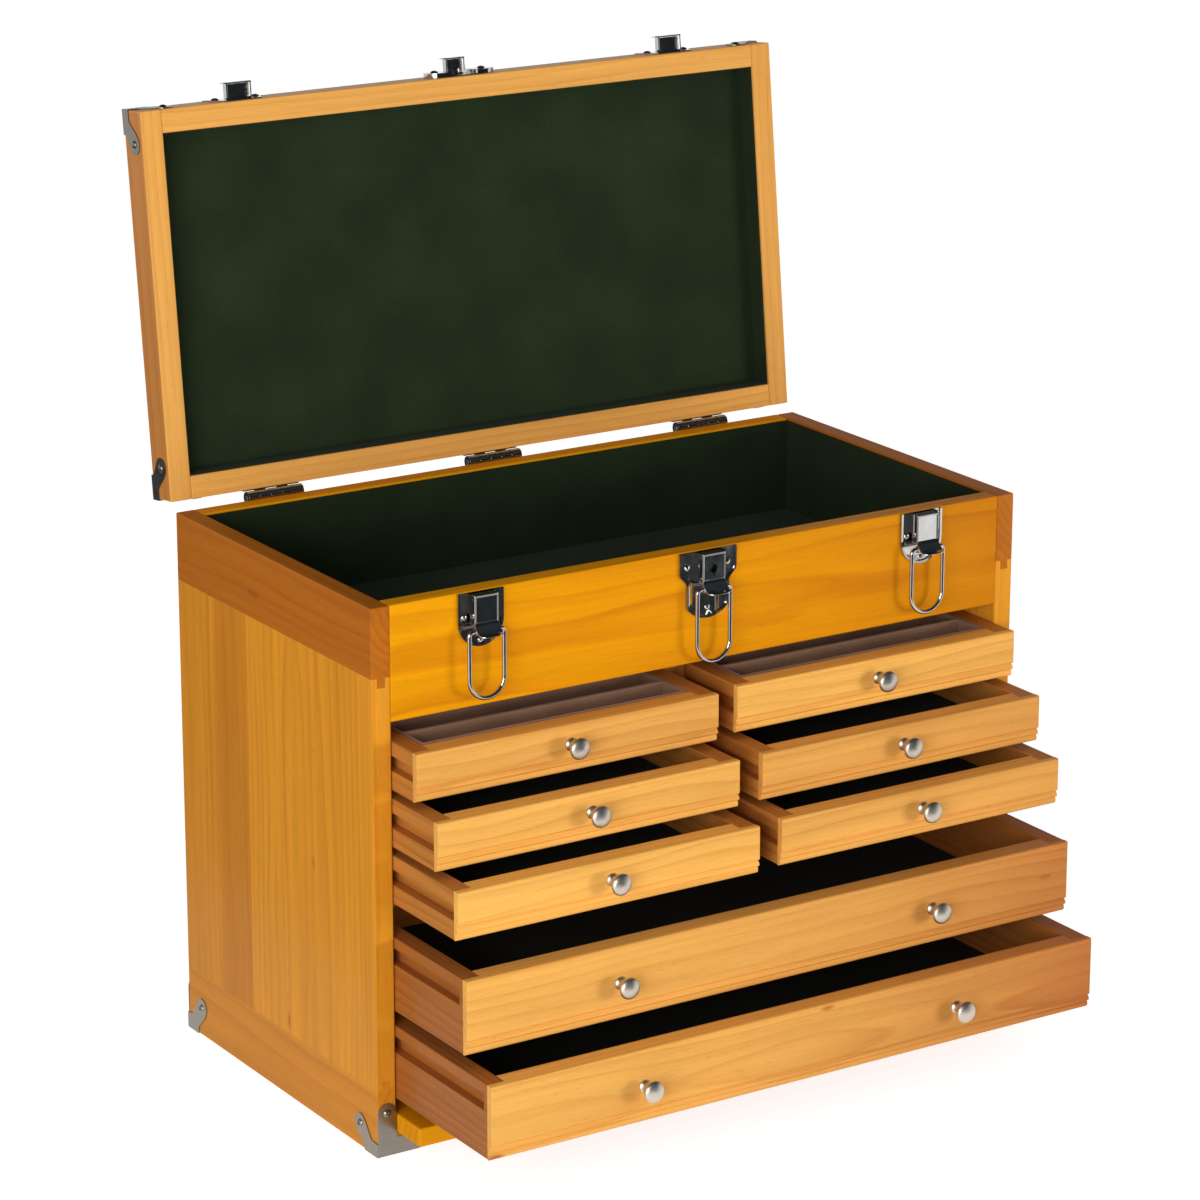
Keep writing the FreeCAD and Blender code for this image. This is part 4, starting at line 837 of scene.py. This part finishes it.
# The lock's lever carries the keyhole, with the wafer lock's steel case behind its face.
keyhole_radius = 2.9
keyhole_z = 363.5 * MM
keyhole_slot = (1.0 * MM, 6.2 * MM)
lock_case = (6 * MM, 353.0 * MM, 367.0 * MM)
parts = lever(0)
hole = turned((0, front_y - lever_face_out - MM, keyhole_z), ((0.0, 0.0), (keyhole_radius, 0.0),
              (keyhole_radius, 6.0), (0.0, 6.0)), 24, (0, 1, 0))
carved(parts[0], hole)
cut(parts[0], (-keyhole_slot[0], front_y - lever_face_out - MM, keyhole_z - keyhole_slot[1]),
    (keyhole_slot[0], front_y - lever_face_out + 5 * MM, keyhole_z))
fitted(parts, "lock_lever_pressed", bright_nickel, "lock_lever", ["lock_lever"], 40)
dark_steel = nickel("oiled_dark_steel", "#25272A", "#3A3C40", 0.3, 0.2)
case = block((-lock_case[0], front_y - lever_face_out + 3.6 * MM, lock_case[1]),
             (lock_case[0], front_y - lever_back_out, lock_case[2]))
fitted([eased(case, 0.3 * MM)], "lock_lever_case", dark_steel, "lock_lever", ["lock_lever"], 40)


# Bails: one closed loop of 3 mm round steel wire each; its bar lies in the lever's curl, and its half-round end
# drops over the lid's hook.
wire_radius = 1.5 * MM
bail_half = 13 * MM
bail_corner = 3 * MM
bail_steps = 8
side_bail_length = 45.5 * MM
lock_bail_length = 50.5 * MM


def wire_loop(centre, length):
    """Wire drawn from the half-round end up one side, across the bar and down the other side."""
    y = front_y - curl_out
    bend_z = curl_z - length + bail_half
    pick()
    bpy.ops.mesh.primitive_circle_add(vertices=16, radius=wire_radius, location=(centre - bail_half, y, bend_z))
    bpy.ops.object.transform_apply(location=True, rotation=True, scale=True)
    piece = bpy.context.object
    opened(piece, "EDGE")
    leg = curl_z - bail_corner - bend_z
    bpy.ops.mesh.extrude_edges_move(TRANSFORM_OT_translate={"value": (0, 0, leg)})
    bpy.ops.mesh.spin(steps=bail_steps, angle=-math.pi / 2, axis=(0, 1, 0),
                      center=(centre - bail_half + bail_corner, y, curl_z - bail_corner))
    bpy.ops.mesh.extrude_edges_move(TRANSFORM_OT_translate={"value": (2 * (bail_half - bail_corner), 0, 0)})
    bpy.ops.mesh.spin(steps=bail_steps, angle=-math.pi / 2, axis=(0, 1, 0),
                      center=(centre + bail_half - bail_corner, y, curl_z - bail_corner))
    bpy.ops.mesh.extrude_edges_move(TRANSFORM_OT_translate={"value": (0, 0, -leg)})
    bpy.ops.mesh.spin(steps=3 * bail_steps, angle=-math.pi, axis=(0, 1, 0), center=(centre, y, bend_z))
    bpy.ops.mesh.select_all(action="SELECT")
    bpy.ops.mesh.remove_doubles(threshold=0.01 * MM)
    bpy.ops.mesh.normals_make_consistent(inside=False)
    bpy.ops.object.mode_set(mode="OBJECT")
    return piece


for name, centre, length in (("latch_bail_left", -latch_x, side_bail_length), ("lock_bail", 0, lock_bail_length),
                             ("latch_bail_right", latch_x, side_bail_length)):
    fitted([wire_loop(centre, length)], name + "_wire", bright_nickel, name, [name], 60)


# Studio: a plain white paper floor in an even white room, a soft lamp low down at the right in front, and a wider
# one at the left. Four dark cards round the box are seen only in mirror images, so that bright metal shows dark
# and light.
floor_size = 12
# Each card's name, place, size and tilt in degrees
cards = (("front_card", (-0.6, -2.05, 2 * MM), (2.9, 2.5), 0), ("side_card", (-1.5, 1.15, 2 * MM), (2.2, 2.5), 0),
         ("standing_card", (0.3, -3.4, 1.0), (6.4, 2.0), 90), ("ceiling_card", (1.0, 1.3, 2.0), (8.0, 9.4), 0))
floor_glow = 0.76
room_fill = 0.30
lamp_target = (0, 0, 0.25)


def seen_directly(tree):
    """1 for what the eye, a mirror or glass shows, and 0 for light that only falls on the box."""
    path = add(tree, "ShaderNodeLightPath")
    seen = add(tree, "ShaderNodeMath", {"operation": "MAXIMUM"},
               {0: path.outputs["Is Camera Ray"], 1: path.outputs["Is Glossy Ray"]})
    return add(tree, "ShaderNodeMath", {"operation": "MAXIMUM"},
               {0: seen.outputs[0], 1: path.outputs["Is Transmission Ray"]}).outputs[0]


pick()
bpy.ops.mesh.primitive_plane_add(size=floor_size, location=(0, 0, 0))
floor = bpy.context.object
floor.name = "studio_floor"
paper = bpy.data.materials.new("white_paper_floor")
paper.use_nodes = True
tree = paper.node_tree
shader = tree.nodes["Principled BSDF"]
shader.inputs["Base Color"].default_value = linear("#E8E8E8")
shader.inputs["Roughness"].default_value = 0.9
shader.inputs["Specular IOR Level"].default_value = 0.1
seen = seen_directly(tree)
# The floor stays white to the eye but keeps the toolbox's shadow
glow = add(tree, "ShaderNodeEmission", {"Color": linear("#FFFFFF"), "Strength": floor_glow})
lifted = add(tree, "ShaderNodeAddShader", {}, {0: shader.outputs[0], 1: glow.outputs[0]})
shown = add(tree, "ShaderNodeMixShader", {}, {0: seen, 1: shader.outputs[0], 2: lifted.outputs[0]})
tree.links.new(shown.outputs[0], tree.nodes["Material Output"].inputs["Surface"])
floor.data.materials.append(paper)

flock_black = bpy.data.materials.new("black_flocked_card")
flock_black.use_nodes = True
shader = flock_black.node_tree.nodes["Principled BSDF"]
shader.inputs["Base Color"].default_value = linear("#26323A")
shader.inputs["Roughness"].default_value = 0.9
for name, place, size, tilt in cards:
    pick()
    bpy.ops.mesh.primitive_plane_add(size=1, location=place, rotation=(math.radians(tilt), 0, 0))
    card = bpy.context.object
    card.scale = (*size, 1)
    bpy.ops.object.transform_apply(location=True, rotation=True, scale=True)
    card.name = name
    card.visible_camera = False
    card.visible_diffuse = False
    card.visible_transmission = False
    card.visible_shadow = False
    card.data.materials.append(flock_black)

world = bpy.data.worlds.new("studio_room")
bpy.context.scene.world = world
world.use_nodes = True
tree = world.node_tree
tree.nodes.clear()
seen = seen_directly(tree)
fill = add(tree, "ShaderNodeBackground", {"Color": linear("#FFFFFF"), "Strength": room_fill})
white = add(tree, "ShaderNodeBackground", {"Color": linear("#FFFFFF"), "Strength": 1.0})
room = add(tree, "ShaderNodeMixShader", {}, {0: seen, 1: fill.outputs[0], 2: white.outputs[0]})
add(tree, "ShaderNodeOutputWorld", {}, {"Surface": room.outputs[0]})


def lamp(name, place, target, size, power):
    """A square soft lamp aimed at a point."""
    pick()
    bpy.ops.object.light_add(type="AREA", location=place)
    made = bpy.context.object
    made.name = name
    made.data.size = size
    made.data.energy = power
    made.rotation_euler = (Vector(target) - Vector(place)).to_track_quat("-Z", "Y").to_euler()
    return made


key = lamp("key_lamp", (1.75, -2.3, 0.3), lamp_target, 0.9, 36)
# Its shape is kept out of the bright metal
key.visible_glossy = False
lamp("fill_lamp", (-2.2, -1.85, 0.65), lamp_target, 1.6, 51)


# Camera: above and to the left of the front, as the photograph was taken.
camera_data = bpy.data.cameras.new("camera")
camera = bpy.data.objects.new("camera", camera_data)
bpy.context.scene.collection.objects.link(camera)
camera.location = (-1.55206, -2.42282, 1.18214)
camera.rotation_euler = [math.radians(angle) for angle in (73.0841, -0.054, -32.5388)]
camera_data.lens = 131.237
camera_data.sensor_width = 36
camera_data.shift_x = 0.00697
camera_data.shift_y = -0.00192
bpy.context.scene.camera = camera
bpy.context.scene.view_settings.view_transform = "Standard"
